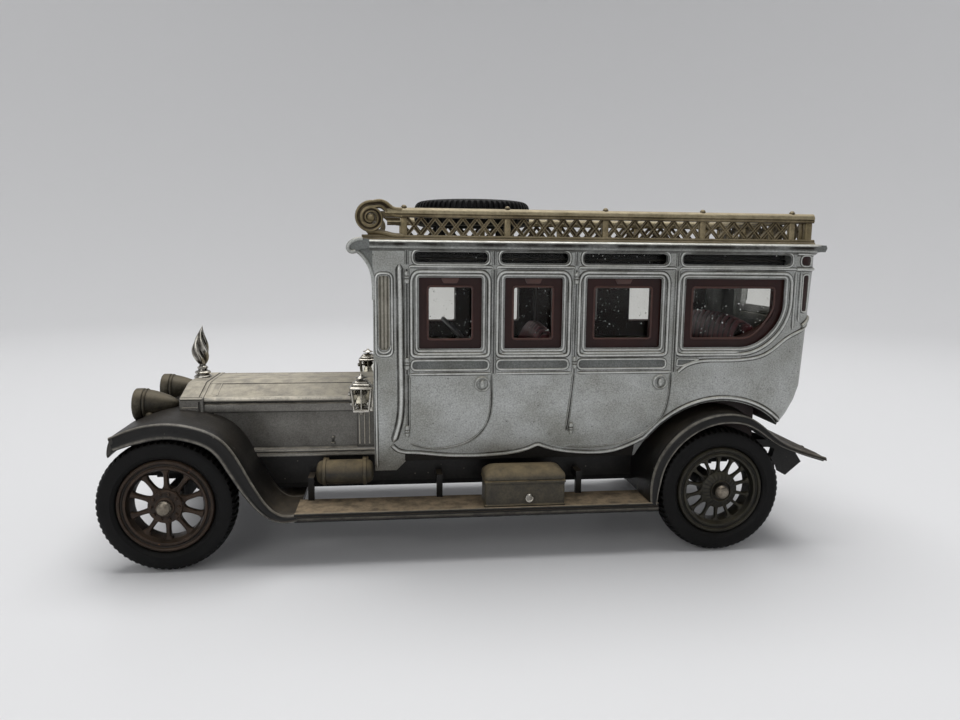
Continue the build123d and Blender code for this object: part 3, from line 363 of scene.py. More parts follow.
def weathered(
    name, colour, stain, roughness, metallic=0.0, drift_mm=6.0, grain_mm=0.35, grain_dark=0.25,
    grain_bump=0.02,
    dust="#8C7B62", dust_share=0.0, dust_low=0.25, dust_below=None, grime_and_shade="#1B1815", grime_and_shade_share=0.8,
    specks=0.0,
    speck="#2A2622", wear_and_highlight=None, specular=0.5,
):
    """Base colour drifting to a stain, fine grain, dirt and painted shade in recesses, wear and a painted
    highlight on crests, specks, then dust.
    """
    finish, tree, shader, coordinates, place = blank(name)
    drift = add(tree, "TexNoise", {"Vector": place, "Scale": 1 / drift_mm, "Detail": 4.0, "Roughness": 0.6})
    spread = add(tree, "MapRange", {"Value": drift.outputs["Fac"], "From Min": 0.38, "From Max": 0.68})
    base = add(tree, "Mix", data_type="RGBA", inputs={
        "Factor": spread.outputs["Result"], "A": linear(colour), "B": linear(stain)})
    grain = add(tree, "TexNoise", {"Vector": place, "Scale": 1 / grain_mm, "Detail": 2.0, "Roughness": 0.7})
    tone = add(tree, "MapRange", {
        "Value": grain.outputs["Fac"], "From Min": 0.3, "From Max": 0.7, "To Min": 1 - grain_dark,
        "To Max": 1 + grain_dark * 0.6})
    grained = add(tree, "VectorMath", operation="SCALE",
        inputs={0: base.outputs["Result"], "Scale": tone.outputs["Result"]})
    colour_now = grained.outputs["Vector"]
    # the attribute darkens grooves with dirt and painted shade
    recess = add(tree, "Attribute", attribute_name="grime_and_shade")
    patchy = add(tree, "MapRange",
        {"Value": drift.outputs["Fac"], "From Min": 0.3, "From Max": 0.6, "To Min": 0.55})
    dirt_and_shade = add(tree, "Math", operation="MULTIPLY",
        inputs={0: recess.outputs["Fac"], 1: patchy.outputs["Result"]})
    dirt_and_shade = add(tree, "Math", operation="MULTIPLY", use_clamp=True,
        inputs={0: dirt_and_shade.outputs["Value"], 1: grime_and_shade_share})
    dirtied_and_shaded = add(tree, "Mix", data_type="RGBA", inputs={
        "Factor": dirt_and_shade.outputs["Value"], "A": colour_now, "B": linear(grime_and_shade)})
    colour_now = dirtied_and_shaded.outputs["Result"]
    # crests (attribute below 0) are painted lighter: rubbed wear and a painted highlight
    if wear_and_highlight:
        crest = add(tree, "MapRange", {"Value": recess.outputs["Fac"], "From Min": 0.0, "From Max": -1.0})
        rubbed = add(tree, "TexNoise", {"Vector": place, "Scale": 0.5, "Detail": 5.0, "Roughness": 0.75})
        rubbed = add(tree, "MapRange",
            {"Value": rubbed.outputs["Fac"], "From Min": 0.36, "From Max": 0.58, "To Min": 0.3})
        share = add(tree, "Math", operation="MULTIPLY",
            inputs={0: crest.outputs["Result"], 1: rubbed.outputs["Result"]})
        crest_wear_and_highlight = add(tree, "Mix", data_type="RGBA", inputs={
            "Factor": share.outputs["Value"], "A": colour_now, "B": linear(wear_and_highlight)})
        colour_now = crest_wear_and_highlight.outputs["Result"]
    if specks:
        spots = add(tree, "TexVoronoi", {"Vector": place, "Scale": 0.55, "Randomness": 1.0})
        spot = add(tree, "MapRange", {
            "Value": spots.outputs["Distance"], "From Min": 0.05, "From Max": 0.09, "To Min": specks,
            "To Max": 0.0})
        spotted = add(tree, "Mix", data_type="RGBA", inputs={
            "Factor": spot.outputs["Result"], "A": colour_now, "B": linear(speck)})
        colour_now = spotted.outputs["Result"]
    rough = add(tree, "MapRange", {
        "Value": grain.outputs["Fac"], "From Min": 0.3, "From Max": 0.7, "To Min": roughness * 0.85,
        "To Max": min(1.0, roughness * 1.15)})
    rough_now, metal_now = rough.outputs["Result"], None
    if dust_share:
        up = add(tree, "SeparateXYZ", {"Vector": coordinates.outputs["Normal"]})
        facing = add(tree, "MapRange", {"Value": up.outputs["Z"], "From Min": dust_low, "From Max": 1.0})
        cloud = add(tree, "TexNoise", {"Vector": place, "Scale": 0.45, "Detail": 6.0, "Roughness": 0.7})
        broken = add(tree, "MapRange", {
            "Value": cloud.outputs["Fac"], "From Min": 0.35, "From Max": 0.6, "To Min": 0.35, "To Max": 1.0})
        lying = add(tree, "Math", operation="MULTIPLY",
            inputs={0: facing.outputs["Result"], 1: broken.outputs["Result"]})
        lying = add(tree, "Math", operation="MULTIPLY", use_clamp=True,
            inputs={0: lying.outputs["Value"], 1: dust_share})
        if dust_below:
            height = add(tree, "SeparateXYZ", {"Vector": place})
            sunk = add(tree, "MapRange", {
                "Value": height.outputs["Z"], "From Min": dust_below, "From Max": dust_below - 7.0,
                "To Min": 0.22})
            lying = add(tree, "Math", operation="MULTIPLY",
                inputs={0: lying.outputs["Value"], 1: sunk.outputs["Result"]})
        dusted = add(tree, "Mix", data_type="RGBA", inputs={
            "Factor": lying.outputs["Value"], "A": colour_now, "B": linear(dust)})
        colour_now = dusted.outputs["Result"]
        matt = add(tree, "Mix", data_type="FLOAT",
            inputs={"Factor": lying.outputs["Value"], "A": rough_now, "B": 0.95})
        rough_now = matt.outputs["Result"]
        if metallic:
            metal = add(tree, "MapRange",
                {"Value": lying.outputs["Value"], "To Min": metallic, "To Max": 0.0})
            metal_now = metal.outputs["Result"]
    bump = add(tree, "Bump", {"Height": grain.outputs["Fac"], "Strength": 0.6, "Distance": grain_bump * MM})
    tree.links.new(colour_now, shader.inputs["Base Color"])
    tree.links.new(rough_now, shader.inputs["Roughness"])
    tree.links.new(bump.outputs["Normal"], shader.inputs["Normal"])
    if metal_now is None:
        shader.inputs["Metallic"].default_value = metallic
    else:
        tree.links.new(metal_now, shader.inputs["Metallic"])
    shader.inputs["Specular IOR Level"].default_value = specular
    return finish


# %% [markdown]
# ### Silver metallic enamel
# Aluminium-flake enamel sprayed on zinc castings. Real flake is far finer than this, so the grain is drawn
# about a quarter of a millimetre across to show at all; the film has yellowed a little and gone matt. It is a
# mid grey, mostly metallic but rough. A lighter copy on beads and crests is their rubbed wear and a painted
# highlight; a darker copy in recessed fields is painted shade.

# %% Silver enamels
silver_enamel = weathered(
    "silver_flake_enamel_sprayed_on_zinc", "#B2B4B2", "#94958F", 0.4, metallic=0.7, drift_mm=9.0,
    grain_mm=0.22,
    grain_dark=0.36, grain_bump=0.02, dust="#A69C86", dust_share=0.7, dust_low=0.35, grime_and_shade="#2A2724",
    grime_and_shade_share=0.85, specks=0.55, wear_and_highlight="#D6D7D3",
)
# a lighter copy of the silver for raised beads: rubbed wear and a painted highlight
silver_highlit_bead_enamel = weathered(
    "silver_flake_enamel_rubbed_and_highlit_on_crests", "#BDBFBC", "#A3A49E", 0.34, metallic=0.75, drift_mm=5.0,
    grain_mm=0.28,
    grain_dark=0.34, grain_bump=0.02, dust="#B5AC97", dust_share=0.55, dust_low=0.3, grime_and_shade="#24211E",
    grime_and_shade_share=1.0, wear_and_highlight="#DEDFDB",
)
# a darker copy of the silver: painted shade, used in the belt-panel fields and on the roof and visor
silver_shade_enamel = weathered(
    "silver_flake_enamel_darkened_as_painted_shade", "#7C7F7E", "#6C6E6A", 0.5, metallic=0.6, drift_mm=5.0, grain_mm=0.28,
    grain_dark=0.4, grain_bump=0.018, dust="#A39A86", dust_share=0.6, grime_and_shade="#24211E", grime_and_shade_share=0.9,
)
bonnet_enamel = weathered(
    "silver_enamel_under_dust_on_a_bonnet", "#7C7A75", "#66635D", 0.38, metallic=0.65, drift_mm=8.0,
    grain_mm=0.24,
    grain_dark=0.3, grain_bump=0.018, dust="#B5AD9C", dust_share=0.95, dust_low=0.45, grime_and_shade="#14120F",
    grime_and_shade_share=1.0, specks=0.3, wear_and_highlight="#CFC8B8",
)

# %% [markdown]
# ### Black enamel, worn and dusty
# The chassis and fenders are black stoving enamel on castings. Handling has rubbed it to a charcoal sheen,
# its crests painted lighter for that wear and as a painted highlight, and brown household dust has settled on
# what faces up low down, so boards read brown and the sides stay black.

# %% Black enamels
black_enamel = weathered(
    "black_stoving_enamel_on_zinc", "#100F0E", "#1A1816", 0.38, drift_mm=2.5, grain_mm=0.35, grain_dark=0.5,
    grain_bump=0.03, dust="#544B3E", dust_share=0.75, dust_low=0.45, dust_below=22.0, grime_and_shade="#050504",
    grime_and_shade_share=0.9, specks=0.4, speck="#7A7468", wear_and_highlight="#7E7A71", specular=0.3,
)
board_enamel = weathered(
    "black_enamel_under_thick_dust", "#141210", "#1E1B17", 0.5, drift_mm=3.0, grain_mm=0.35, grain_dark=0.4,
    grain_bump=0.04, dust="#93826A", dust_share=1.0, dust_low=0.5, grime_and_shade="#050504", grime_and_shade_share=0.95,
    wear_and_highlight="#7D776A", specular=0.3,
)
luggage_enamel = weathered(
    "olive_enamel_gone_brown_with_dust", "#4A4333", "#363126", 0.6, drift_mm=2.5, grain_mm=0.38,
    grain_dark=0.45,
    grain_bump=0.05, dust="#8A7A5C", dust_share=0.9, dust_low=0.1, grime_and_shade="#16130F", grime_and_shade_share=0.9,
    specks=0.3,
)
# a darker, matter copy of the black enamel for parts under and inside the car: painted shadow
shade_darkened_black = weathered(
    "matt_black_darkened_as_painted_shadow", "#0A0A09", "#12110F", 0.7, drift_mm=5.0, grain_mm=0.5, grain_dark=0.3,
    dust="#3A342B", dust_share=0.4, specular=0.25,
)

# %% [markdown]
# ### Mouldings, plating and metals
# The rack is vacuum-metallised plastic whose gold has dulled to brass-beige, with dirt and painted shade in
# the lattice. Window frames and seats are maroon polystyrene. Headlamps and wheels are cast and washed with a
# thin bronze paint.
# The lanterns and the finial are vacuum-plated bright, so they mirror the room.

# %% Plastics and metals
gold_moulding = weathered(
    "dulled_gold_plating_on_plastic", "#93866A", "#73674B", 0.36, metallic=0.7, drift_mm=5.0, grain_mm=0.5,
    grain_dark=0.25, grain_bump=0.012, dust="#9F937A", dust_share=0.85, dust_low=0.3, grime_and_shade="#2B2114",
    grime_and_shade_share=1.0, specks=0.3, speck="#4A3E28", wear_and_highlight="#B3A88C",
)
maroon_moulding = weathered(
    "maroon_polystyrene_moulded", "#2A0F0B", "#200B08", 0.36, drift_mm=8.0, grain_mm=0.6, grain_dark=0.15,
    grain_bump=0.006, dust="#5A4238", dust_share=0.5, grime_and_shade="#140605", grime_and_shade_share=0.8, specular=0.3,
)
# a lighter copy of the maroon for raised edges and tabs: painted highlight
maroon_highlit_crest = weathered(
    "maroon_polystyrene_painted_highlight_on_raised_edges", "#4B2C24", "#3A201A", 0.34, drift_mm=5.0, grain_mm=0.6,
    grain_dark=0.15,
    dust="#7A6254", dust_share=0.4, grime_and_shade="#1A0907", grime_and_shade_share=0.8,
)
seat_moulding = weathered(
    "maroon_polystyrene_pleated_seat", "#8A484E", "#6E363C", 0.38, drift_mm=6.0, grain_mm=0.4,
    grain_dark=0.15,
    dust="#6B5350", dust_share=0.35, grime_and_shade="#140709", grime_and_shade_share=1.0,
)
bronze_wash = weathered(
    "bronze_wash_on_cast_headlamps", "#494438", "#353128", 0.42, metallic=0.55, drift_mm=2.5, grain_mm=0.35,
    grain_dark=0.35, grain_bump=0.02, dust="#746850", dust_share=0.6, grime_and_shade="#12100D", grime_and_shade_share=0.95,
)
front_wheel_bronze = weathered(
    "copper_brown_wash_on_cast_wheels", "#3C2E22", "#291D15", 0.45, metallic=0.5, drift_mm=2.0, grain_mm=0.3,
    grain_dark=0.4, grain_bump=0.03, dust="#7A6450", dust_share=0.35, grime_and_shade="#0B0907", grime_and_shade_share=1.0,
    specks=0.4,
    speck="#8A5A3A", wear_and_highlight="#7E6C55",
)
rear_wheel_bronze = weathered(
    "olive_bronze_wash_on_cast_wheels", "#322F24", "#232019", 0.42, metallic=0.5, drift_mm=2.0, grain_mm=0.3,
    grain_dark=0.35, grain_bump=0.03, dust="#6E6650", dust_share=0.35, grime_and_shade="#0A0907", grime_and_shade_share=1.0,
    wear_and_highlight="#77705A",
)
tyre_rubber = weathered(
    "black_vinyl_moulded_tyre", "#060606", "#0B0A0A", 0.55, drift_mm=5.0, grain_mm=0.5, grain_dark=0.3,
    grain_bump=0.01, dust="#2B2822", dust_share=0.25, grime_and_shade="#020202", grime_and_shade_share=0.7, specular=0.18,
)
axle_steel = weathered(
    "bright_steel_dulled_by_handling", "#8A8377", "#6B6358", 0.4, metallic=0.9, drift_mm=1.5, grain_mm=0.3,
    grain_dark=0.35, grain_bump=0.02, grime_and_shade="#2A2118", grime_and_shade_share=0.8,
)
bright_plating = weathered(
    "bright_vacuum_plating_on_plastic", "#C9C6BE", "#9A958A", 0.16, metallic=1.0, drift_mm=1.2, grain_mm=0.4,
    grain_dark=0.2, grain_bump=0.01, dust="#8E826C", dust_share=0.3, dust_low=0.5, grime_and_shade="#221C15",
    grime_and_shade_share=0.9,
)
grey_moulding = weathered(
    "silver_painted_steering_wheel", "#8B8C8C", "#6F7070", 0.35, metallic=0.6, drift_mm=3.0, grain_mm=0.4,
    grain_dark=0.15, grime_and_shade="#222222",
)
core_black = weathered(
    "black_radiator_gauze", "#1A1A19", "#26241F", 0.5, metallic=0.3, drift_mm=3.0, grain_mm=0.4,
    grain_dark=0.3,
    dust="#5A5140", dust_share=0.5, grime_and_shade="#050505",
)
blind_light_paint = weathered(
    "cream_grey_paint_in_a_blind_light", "#A8A498", "#8E8A7E", 0.5, metallic=0.2, drift_mm=4.0, grain_mm=0.35,
    grain_dark=0.2, dust="#8A8170", dust_share=0.4, grime_and_shade="#3A352C",
)

# %% [markdown]
# ### Clear styrene
# The glazing is one clear polystyrene moulding. Seen square on it is nearly invisible, with a faint cast and
# specks of dust, so it is a smooth glass shader. Its index is brought down from polystyrene's 1.59 to 1.2,
# because old, dusty panes mirror the room far less than clean ones.


# %% Clear moulding
def clear_styrene(name, tint, specks):
    """A clear sheet that mirrors little, and small pale dust specks where a cell's middle is near."""
    finish, tree, shader, coordinates, place = blank(name)
    spots = add(tree, "TexVoronoi", {"Vector": place, "Scale": 1.4, "Randomness": 1.0})
    size = add(tree, "TexNoise", {"Vector": place, "Scale": 0.5, "Detail": 2.0})
    reach = add(tree, "MapRange",
        {"Value": size.outputs["Fac"], "From Min": 0.4, "From Max": 0.7, "To Max": 0.2})
    near = add(tree, "Math", operation="LESS_THAN",
        inputs={0: spots.outputs["Distance"], 1: reach.outputs["Result"]})
    amount = add(tree, "Math", operation="MULTIPLY", inputs={0: near.outputs["Value"], 1: specks})
    clear = add(tree, "Math", operation="SUBTRACT", inputs={0: 1.0, 1: amount.outputs["Value"]})
    tree.links.new(clear.outputs["Value"], shader.inputs["Transmission Weight"])
    shader.inputs["Base Color"].default_value = linear(tint)
    shader.inputs["Roughness"].default_value = 0.03
    shader.inputs["IOR"].default_value = 1.2
    return finish


clear_window = clear_styrene("clear_polystyrene_glazing", "#F4F4F1", 0.8)
clear_lens = clear_styrene("clear_polystyrene_lens", "#E8E6DC", 0.5)
print("finishes", len(bpy.data.materials))

# %% [markdown]
# ## The nodes whose CAD shape is already right
# Pins, beams, springs, the chassis, the inner floor, window frames and clear mouldings are plain shapes on
# the real car as well. They keep their CAD meshes and only take a finish.

# %% Finishes on plain shapes
kept = {
    axle_steel: "front_axle_pin rear_axle_pin",
    shade_darkened_black: "front_axle_beam rear_axle_casing front_springs rear_springs cross_members base_plate",
    black_enamel: "chassis_rails board_brackets rear_hangers",
    maroon_moulding: "floor_tub partition window_frames",
    clear_window: "side_glazing end_glazing",
    clear_lens: "headlight_lenses side_lamp_glass",
}
for finish, names in kept.items():
    for name in names.split():
        mesh = frame["nodes"][name].data
        mesh.materials.clear()
        mesh.materials.append(finish)
print("plain shapes", sum(len(names.split()) for names in kept.values()))

# %% [markdown]
# ## Tyres
# Moulded vinyl rings with a squarish section, a plain sidewall with one raised line, and a tread of short
# cross bars that show as teeth in outline. One grid makes it all: an angle round the wheel and an angle
# round the section. Cutting the bars by Boolean would work too, but would leave ragged faces.

# %% Toothed tyres
teeth = 64


def toothed_tyre(centre, axis, inner, outer, width, steps=10, section_steps=40):
    """A squared ellipse, |cos|^0.68 and |sin|^0.68; between teeth a square-shouldered wave cuts the tread."""
    turn = np.linspace(0, 2 * pi, teeth * steps, endpoint=False)[:, None]
    around = np.linspace(0, 2 * pi, section_steps, endpoint=False)[None, :]
    half_depth, half_width = (outer - inner) / 2, width / 2

    def squared(value):
        return np.sign(value) * np.abs(value) ** 0.68

    radius = (inner + outer) / 2 + half_depth * squared(np.cos(around))
    along = half_width * squared(np.sin(around))
    sidewall_line = np.exp(-(((radius - inner - 0.28 * (outer - inner)) / 0.13) ** 2))
    along = along + np.sign(along) * (0.09 * sidewall_line - 0.05)
    tread = np.clip((radius - outer + 0.55) / 0.3, 0, 1)
    wave = np.clip(0.5 - 2.2 * np.cos(teeth * turn), 0, 1)
    radius = radius - 0.3 * tread * wave
    # the tread between the teeth is darkened with dirt and painted shade
    shade = np.clip(tread * wave, 0, 1) * 0.9
    radius, along = np.broadcast_arrays(radius, along)
    axis = np.array(axis, float)
    side = np.array([1.0, 0.0, 0.0])
    up = np.cross(axis, side)
    spoke = np.cos(turn)[..., None] * side + np.sin(turn)[..., None] * up
    points = np.array(centre) + radius[..., None] * spoke + along[..., None] * axis
    return shell(points, close_u=True, grime_and_shade=shade)


wheels = {}
for end, x, spokes in (("front", front_axle, 10), ("rear", rear_axle, 14)):
    for hand, side in (("left", -1), ("right", 1)):
        wheels[f"{end}_{hand}"] = (x, side, spokes)
rim_radius = 7.15
for wheel, (x, side, spokes) in wheels.items():
    centre = (x, side * wheel_centre_y, axle_height)
    ring = toothed_tyre(centre, (0, side, 0), rim_radius, tyre_radius, tyre_width - 0.1)
    make(f"{wheel}_toothed_tyre", [ring], tyre_rubber, f"{wheel}_wheel", replaces=[f"{wheel}_tyre"], angle=40)

# %% [markdown]
# ## Spoked wheels
# Each wheel is one casting: a stepped rim, spokes that swell where they meet rim and hub, and a hub plate.
# The front hub has a ring of small bolt heads round a flat cap; the rear hub is a broad ribbed cone round a
# thin cup. Spokes are sections carried outwards whose width swells like a fillet at both ends.

# %% Rims, spokes and hubs
rim_window = 5.5
rim_steps = [
    (7.3, -1.9), (7.3, 1.7), (7.15, 1.92), (6.95, 1.97), (6.78, 1.9), (6.68, 1.68), (6.5, 1.62), (6.36, 1.68),
    (6.26, 1.86), (6.08, 1.9), (5.9, 1.84), (5.8, 1.6), (5.66, 1.3), (5.5, 1.1), (5.46, 0.4), (5.46, -1.2),
    (5.7, -1.8), (7.3, -1.9),
]
rim_grime_and_shade = [0, 0, 0.3, 0, 0.1, 0.8, 1, 0.8, 0.1, 0, 0.1, 0.7, 1, 0.5, 0.5, 0.8, 0.8, 0]


def spoke(centre, side, turn, hub, half_width, half_depth, seat):
    """An oval bar; half width = w + 0.62 exp(-(r - hub) / 0.34) + 0.5 exp(-(rim - r) / 0.28)."""
    radius = np.linspace(hub - 0.3, rim_window + 0.25, 18)
    swell = 0.62 * np.exp(-np.clip(radius - hub, 0, None) / 0.34)
    swell = swell + 0.5 * np.exp(-np.clip(rim_window - radius, 0, None) / 0.28)
    around = np.linspace(0, 2 * pi, 12, endpoint=False)
    across = (half_width + swell)[:, None] * np.sign(np.cos(around)) * np.abs(np.cos(around)) ** 0.8
    out = (half_depth + 0.15 * swell)[:, None] * np.sign(np.sin(around)) * np.abs(np.sin(around)) ** 0.7
    spin = np.array([cos(turn), 0, sin(turn)])
    beside = np.array([-sin(turn), 0, cos(turn)])
    points = np.array(centre) + radius[:, None, None] * spin + across[..., None] * beside
    points = points + (out + seat)[..., None] * np.array([0, side, 0])
    # the spoke's inner side, away from the wheel's face, is darkened with dirt and painted shade
    shade = np.clip(0.5 - out / half_depth * 0.6, 0, 1)
    return shell(points, grime_and_shade=shade)


for wheel, (x, side, spokes) in wheels.items():
    front = wheel.startswith("front")
    finish = front_wheel_bronze if front else rear_wheel_bronze
    centre = (x, side * wheel_centre_y, axle_height)
    axis = (0, side, 0)
    hub_radius = 2.6 if front else 3.0
    parts = [turned(rim_steps, centre, axis, 96, rim_grime_and_shade)]
    barrel = [(0.95, -2.0), (hub_radius - 0.5, -2.0), (hub_radius - 0.5, 1.36), (0.95, 1.36), (0.95, -2.0)]
    parts.append(turned(barrel, centre, axis, 48, [1, 1, 1, 1, 1]))
    for index in range(spokes):
        turn = 2 * pi * (index + 0.5) / spokes
        width, depth = (0.36, 0.52) if front else (0.24, 0.42)
        parts.append(spoke(centre, side, turn, hub_radius - 0.25, width, depth, 0.62))
    make(f"{wheel}_spoked_wheel", parts, finish, f"{wheel}_wheel", replaces=[f"{wheel}_rim"])
    if front:
        plate = [
            (0.95, 1.35), (2.45, 1.35), (2.62, 1.5), (2.62, 1.85), (2.5, 2.02), (1.62, 2.05), (1.52, 2.1),
            (1.46, 2.3), (1.3, 2.4), (0.95, 2.4), (0.95, 1.35),
        ]
        parts = [turned(plate, centre, axis, 48, [1, 1, 0.6, 0, 0, 0.6, 0.9, 0.1, 0, 0.8, 1])]
        for index in range(10):
            turn = 2 * pi * index / 10
            place = np.array(centre) + 2.07 * np.array([cos(turn), 0, sin(turn)])
            bolt = [(0.0, 2.3), (0.16, 2.28), (0.24, 2.2), (0.27, 2.0), (0.3, 1.7), (0.0, 1.7)]
            parts.append(turned(bolt, place, axis, 8, [0, 0, 0.2, 0.9, 1, 1]))
    else:
        ribs = np.linspace(0, 2 * pi, 96, endpoint=False)
        cone_r = np.array([0.95, 3.02, 3.05, 2.9, 2.6, 2.2, 1.85, 1.78, 1.7, 1.62, 1.5, 0.95, 0.95])
        cone_a = np.array([1.35, 1.35, 1.5, 1.62, 1.78, 1.98, 2.12, 2.36, 2.4, 2.36, 2.12, 2.08, 1.35])
        ribbed = np.exp(-(((cone_r - 2.45) / 0.4) ** 2))[:, None] * (cone_a > 1.5)[:, None]
        lift = cone_a[:, None] + 0.09 * ribbed * np.cos(24 * ribs)
        points = np.array(centre) + lift[..., None] * np.array([0, side, 0])
        points = points + cone_r[:, None, None] * np.stack([np.cos(ribs), 0 * ribs, np.sin(ribs)], -1)
        shade = np.clip(ribbed * (0.5 - 0.7 * np.cos(24 * ribs)), 0, 1) + np.isin(np.arange(13), [6, 10])[:,
            None]
        parts = [shell(points[:-1], close_u=True, grime_and_shade=np.clip(shade, 0, 1)[:-1])]
    make(f"{wheel}_hub_plate", parts, finish, f"{wheel}_wheel", replaces=[f"{wheel}_hub"])

# %% [markdown]
# ## Fenders
# Each fender is a casting with a crowned top, a groove and a bead along its outer edge, and a shallow skirt
# with a second bead below. The section is carried along the same line that the CAD model uses, with its
# crown rising and falling. A subdivided strip could give the crown, but not a groove this crisp.

# %% Fender lines and their section
fender_radius = tyre_radius + 2.4
board_top = 8.5
board_front = front_axle + tyre_radius + 9.2
board_rear = rear_axle - tyre_radius - 1.3


def polar(centre_x, turn, radius):
    """A point at an angle from the rear horizontal about a wheel's centre, as (x, z)."""
    return (centre_x + radius * cos(radians(turn)), axle_height + radius * sin(radians(turn)))


front_line = [
    polar(front_axle, 125, fender_radius + 0.4), polar(front_axle, 108, fender_radius),
    polar(front_axle, 88, fender_radius), polar(front_axle, 70, fender_radius + 0.2),
    polar(front_axle, 50, fender_radius + 0.5), polar(front_axle, 28, fender_radius + 0.1),
    polar(front_axle, 8, fender_radius + 0.9), (board_front - 2.2, board_top), (board_front, board_top),
]
front_rises = [0.1, 0.3, 0.35, 0.35, 0.35, 0.3, 0.2, 0.1, 0.0]
rear_line = [
    (board_rear, board_top), (board_rear, axle_height + 1.6), polar(rear_axle, 158, fender_radius - 0.9),
    polar(rear_axle, 142, fender_radius - 0.8), polar(rear_axle, 124, fender_radius - 0.6),
    polar(rear_axle, 106, fender_radius - 0.3), polar(rear_axle, 88, fender_radius),
    polar(rear_axle, 68, fender_radius + 0.1), polar(rear_axle, 52, fender_radius - 0.2),
    polar(rear_axle, 40, fender_radius + 0.1), (tail - 5.7, axle_height + 7.0),
    (tail - 0.1, axle_height + 5.2),
]
rear_rises = [0.0, 0.4, 0.8, 1.0, 1.0, 1.0, 1.0, 0.9, 0.8, 0.6, 0.3, 0.0]


def fender(line, rises, inner, skirt, ridges=0.0):
    """From the inner edge over a crown 1 - (2q/w - 1)^2 to a groove, a bead and a skirt, and back below."""
    path = smooth_line(np.stack([[x for x, z in line], [-wheel_face] * len(line), [z for x, z in line]], 1),
        170)
    station = np.linspace(0, 1, len(path))
    rise = np.interp(station, np.linspace(0, 1, len(rises)), rises)
    depth = np.interp(station, np.linspace(0, 1, len(skirt)), skirt)[:, None]
    # known fault: inner is negative, so this reaches across the car; it has to be wheel_face + inner
    width = wheel_face - inner
    across_top = np.linspace(width - 0.75, 1.35, 14)

    def crown(q):
        return 1 - (2 * q / width - 1) ** 2

    top_q = np.concatenate([[width, width, width - 0.15, width - 0.4, width - 0.6], across_top])
    top_q = np.concatenate([top_q, [1.2, 1.05, 0.92, 0.72, 0.45, 0.2, 0.03]])
    lift = np.array([-0.7, -0.12, 0.08, 0.12, 0.0] + [0.0] * 14 + [-0.03, -0.16, -0.05, 0.1, 0.12, 0.02,
        -0.2])
    shade = np.array([1, 0.3, -0.6, -0.6, 0.9] + [0.25] + [0] * 12 + [0.35] + [0.9, 1, 0.9, -0.5, -1, -0.7,
        0.4])
    drop_q = np.array([0.0, 0.0, -0.1, -0.12, 0.0, 0.25, 0.45])
    drop_h = np.array([-0.45, -0.85, -0.97, -1.22, -1.38, -1.36, -1.15])
    drop_shade = np.array([0.5, 1, 0.1, -1.0, 0.3, 0.9, 1])
    under_q = np.linspace(0.75, width - 0.1, 10)
    heights_top = lift[None] + rise[:, None] * crown(np.clip(top_q, 0, width))[None]
    heights_drop = np.minimum(drop_h[None] * depth, drop_h[None] * 0 - 0.2)
    heights_under = -0.72 + rise[:, None] * crown(under_q)[None]
    q = np.concatenate([top_q, drop_q, under_q])
    h = np.hstack([heights_top, heights_drop, heights_under])
    if ridges:
        flat = np.clip((station - ridges) / 0.03, 0, 1)[:,
            None] * (q > 1.5) * (np.arange(len(q)) < len(top_q))
        h = h + 0.14 * flat * np.abs(np.sin(pi * (station[:, None] * 34 + q[None] * 0.35)))
    section = np.stack([np.broadcast_to(q, h.shape), h], -1)
    shades = np.concatenate([shade, drop_shade, np.ones(10)])
    out = np.gradient(path, axis=0)
    normals = np.stack([-out[:, 2], 0 * out[:, 0], out[:, 0]], 1)
    return swept(path, section, normals, grime_and_shade=shades[None])


front_fender_inner = -(bonnet_half_width + 0.5)
rear_fender_inner = -13.5
front_skirt = [1.5, 1.7, 1.6, 1.6, 1.6, 1.6, 1.4, 1.0, 0.6]
rear_skirt = [0.6, 1.0, 1.0, 1.0, 1.0, 1.0, 1.0, 0.9, 0.7, 0.5, 0.35, 0.3]
front_shape = fender(front_line, front_rises, front_fender_inner, front_skirt)
rear_shape = fender(rear_line, rear_rises, rear_fender_inner, rear_skirt, ridges=0.86)

# the front fender's leading edge is turned down in a lip that follows the crown
tip_x, tip_z = front_line[0]
lip_y = np.linspace(-wheel_face + 0.05, front_fender_inner - 0.05, 24)
lip_width = wheel_face + front_fender_inner
lip_q = (lip_y + wheel_face) / lip_width
lip_path = np.stack([np.full(24, tip_x + 0.2), lip_y, tip_z - 1.45 + 0.2 * (1 - (2 * lip_q - 1) ** 2)], 1)
lip_section = ellipse_section(1.55, 0.36, 14)
front_lip = swept(lip_path, lip_section, np.array([[-0.97, 0, 0.24]]), grime_and_shade=-0.15)

for hand, mirror in (("left", False), ("right", True)):
    make(f"front_fender_{hand}_crowned", shifted([front_shape, front_lip], mirror=mirror), black_enamel,
         replaces=[f"front_fender_{hand}"])
    make(f"rear_fender_{hand}_crowned", shifted([rear_shape], mirror=mirror), black_enamel,
         replaces=[f"rear_fender_{hand}"])

# %% [markdown]
# ## Running boards
# A flat step between the fenders, with a bead along its outer edge painted bright as wear and a painted
# highlight, and a second line below it.
# Its section is drawn once and carried straight back.

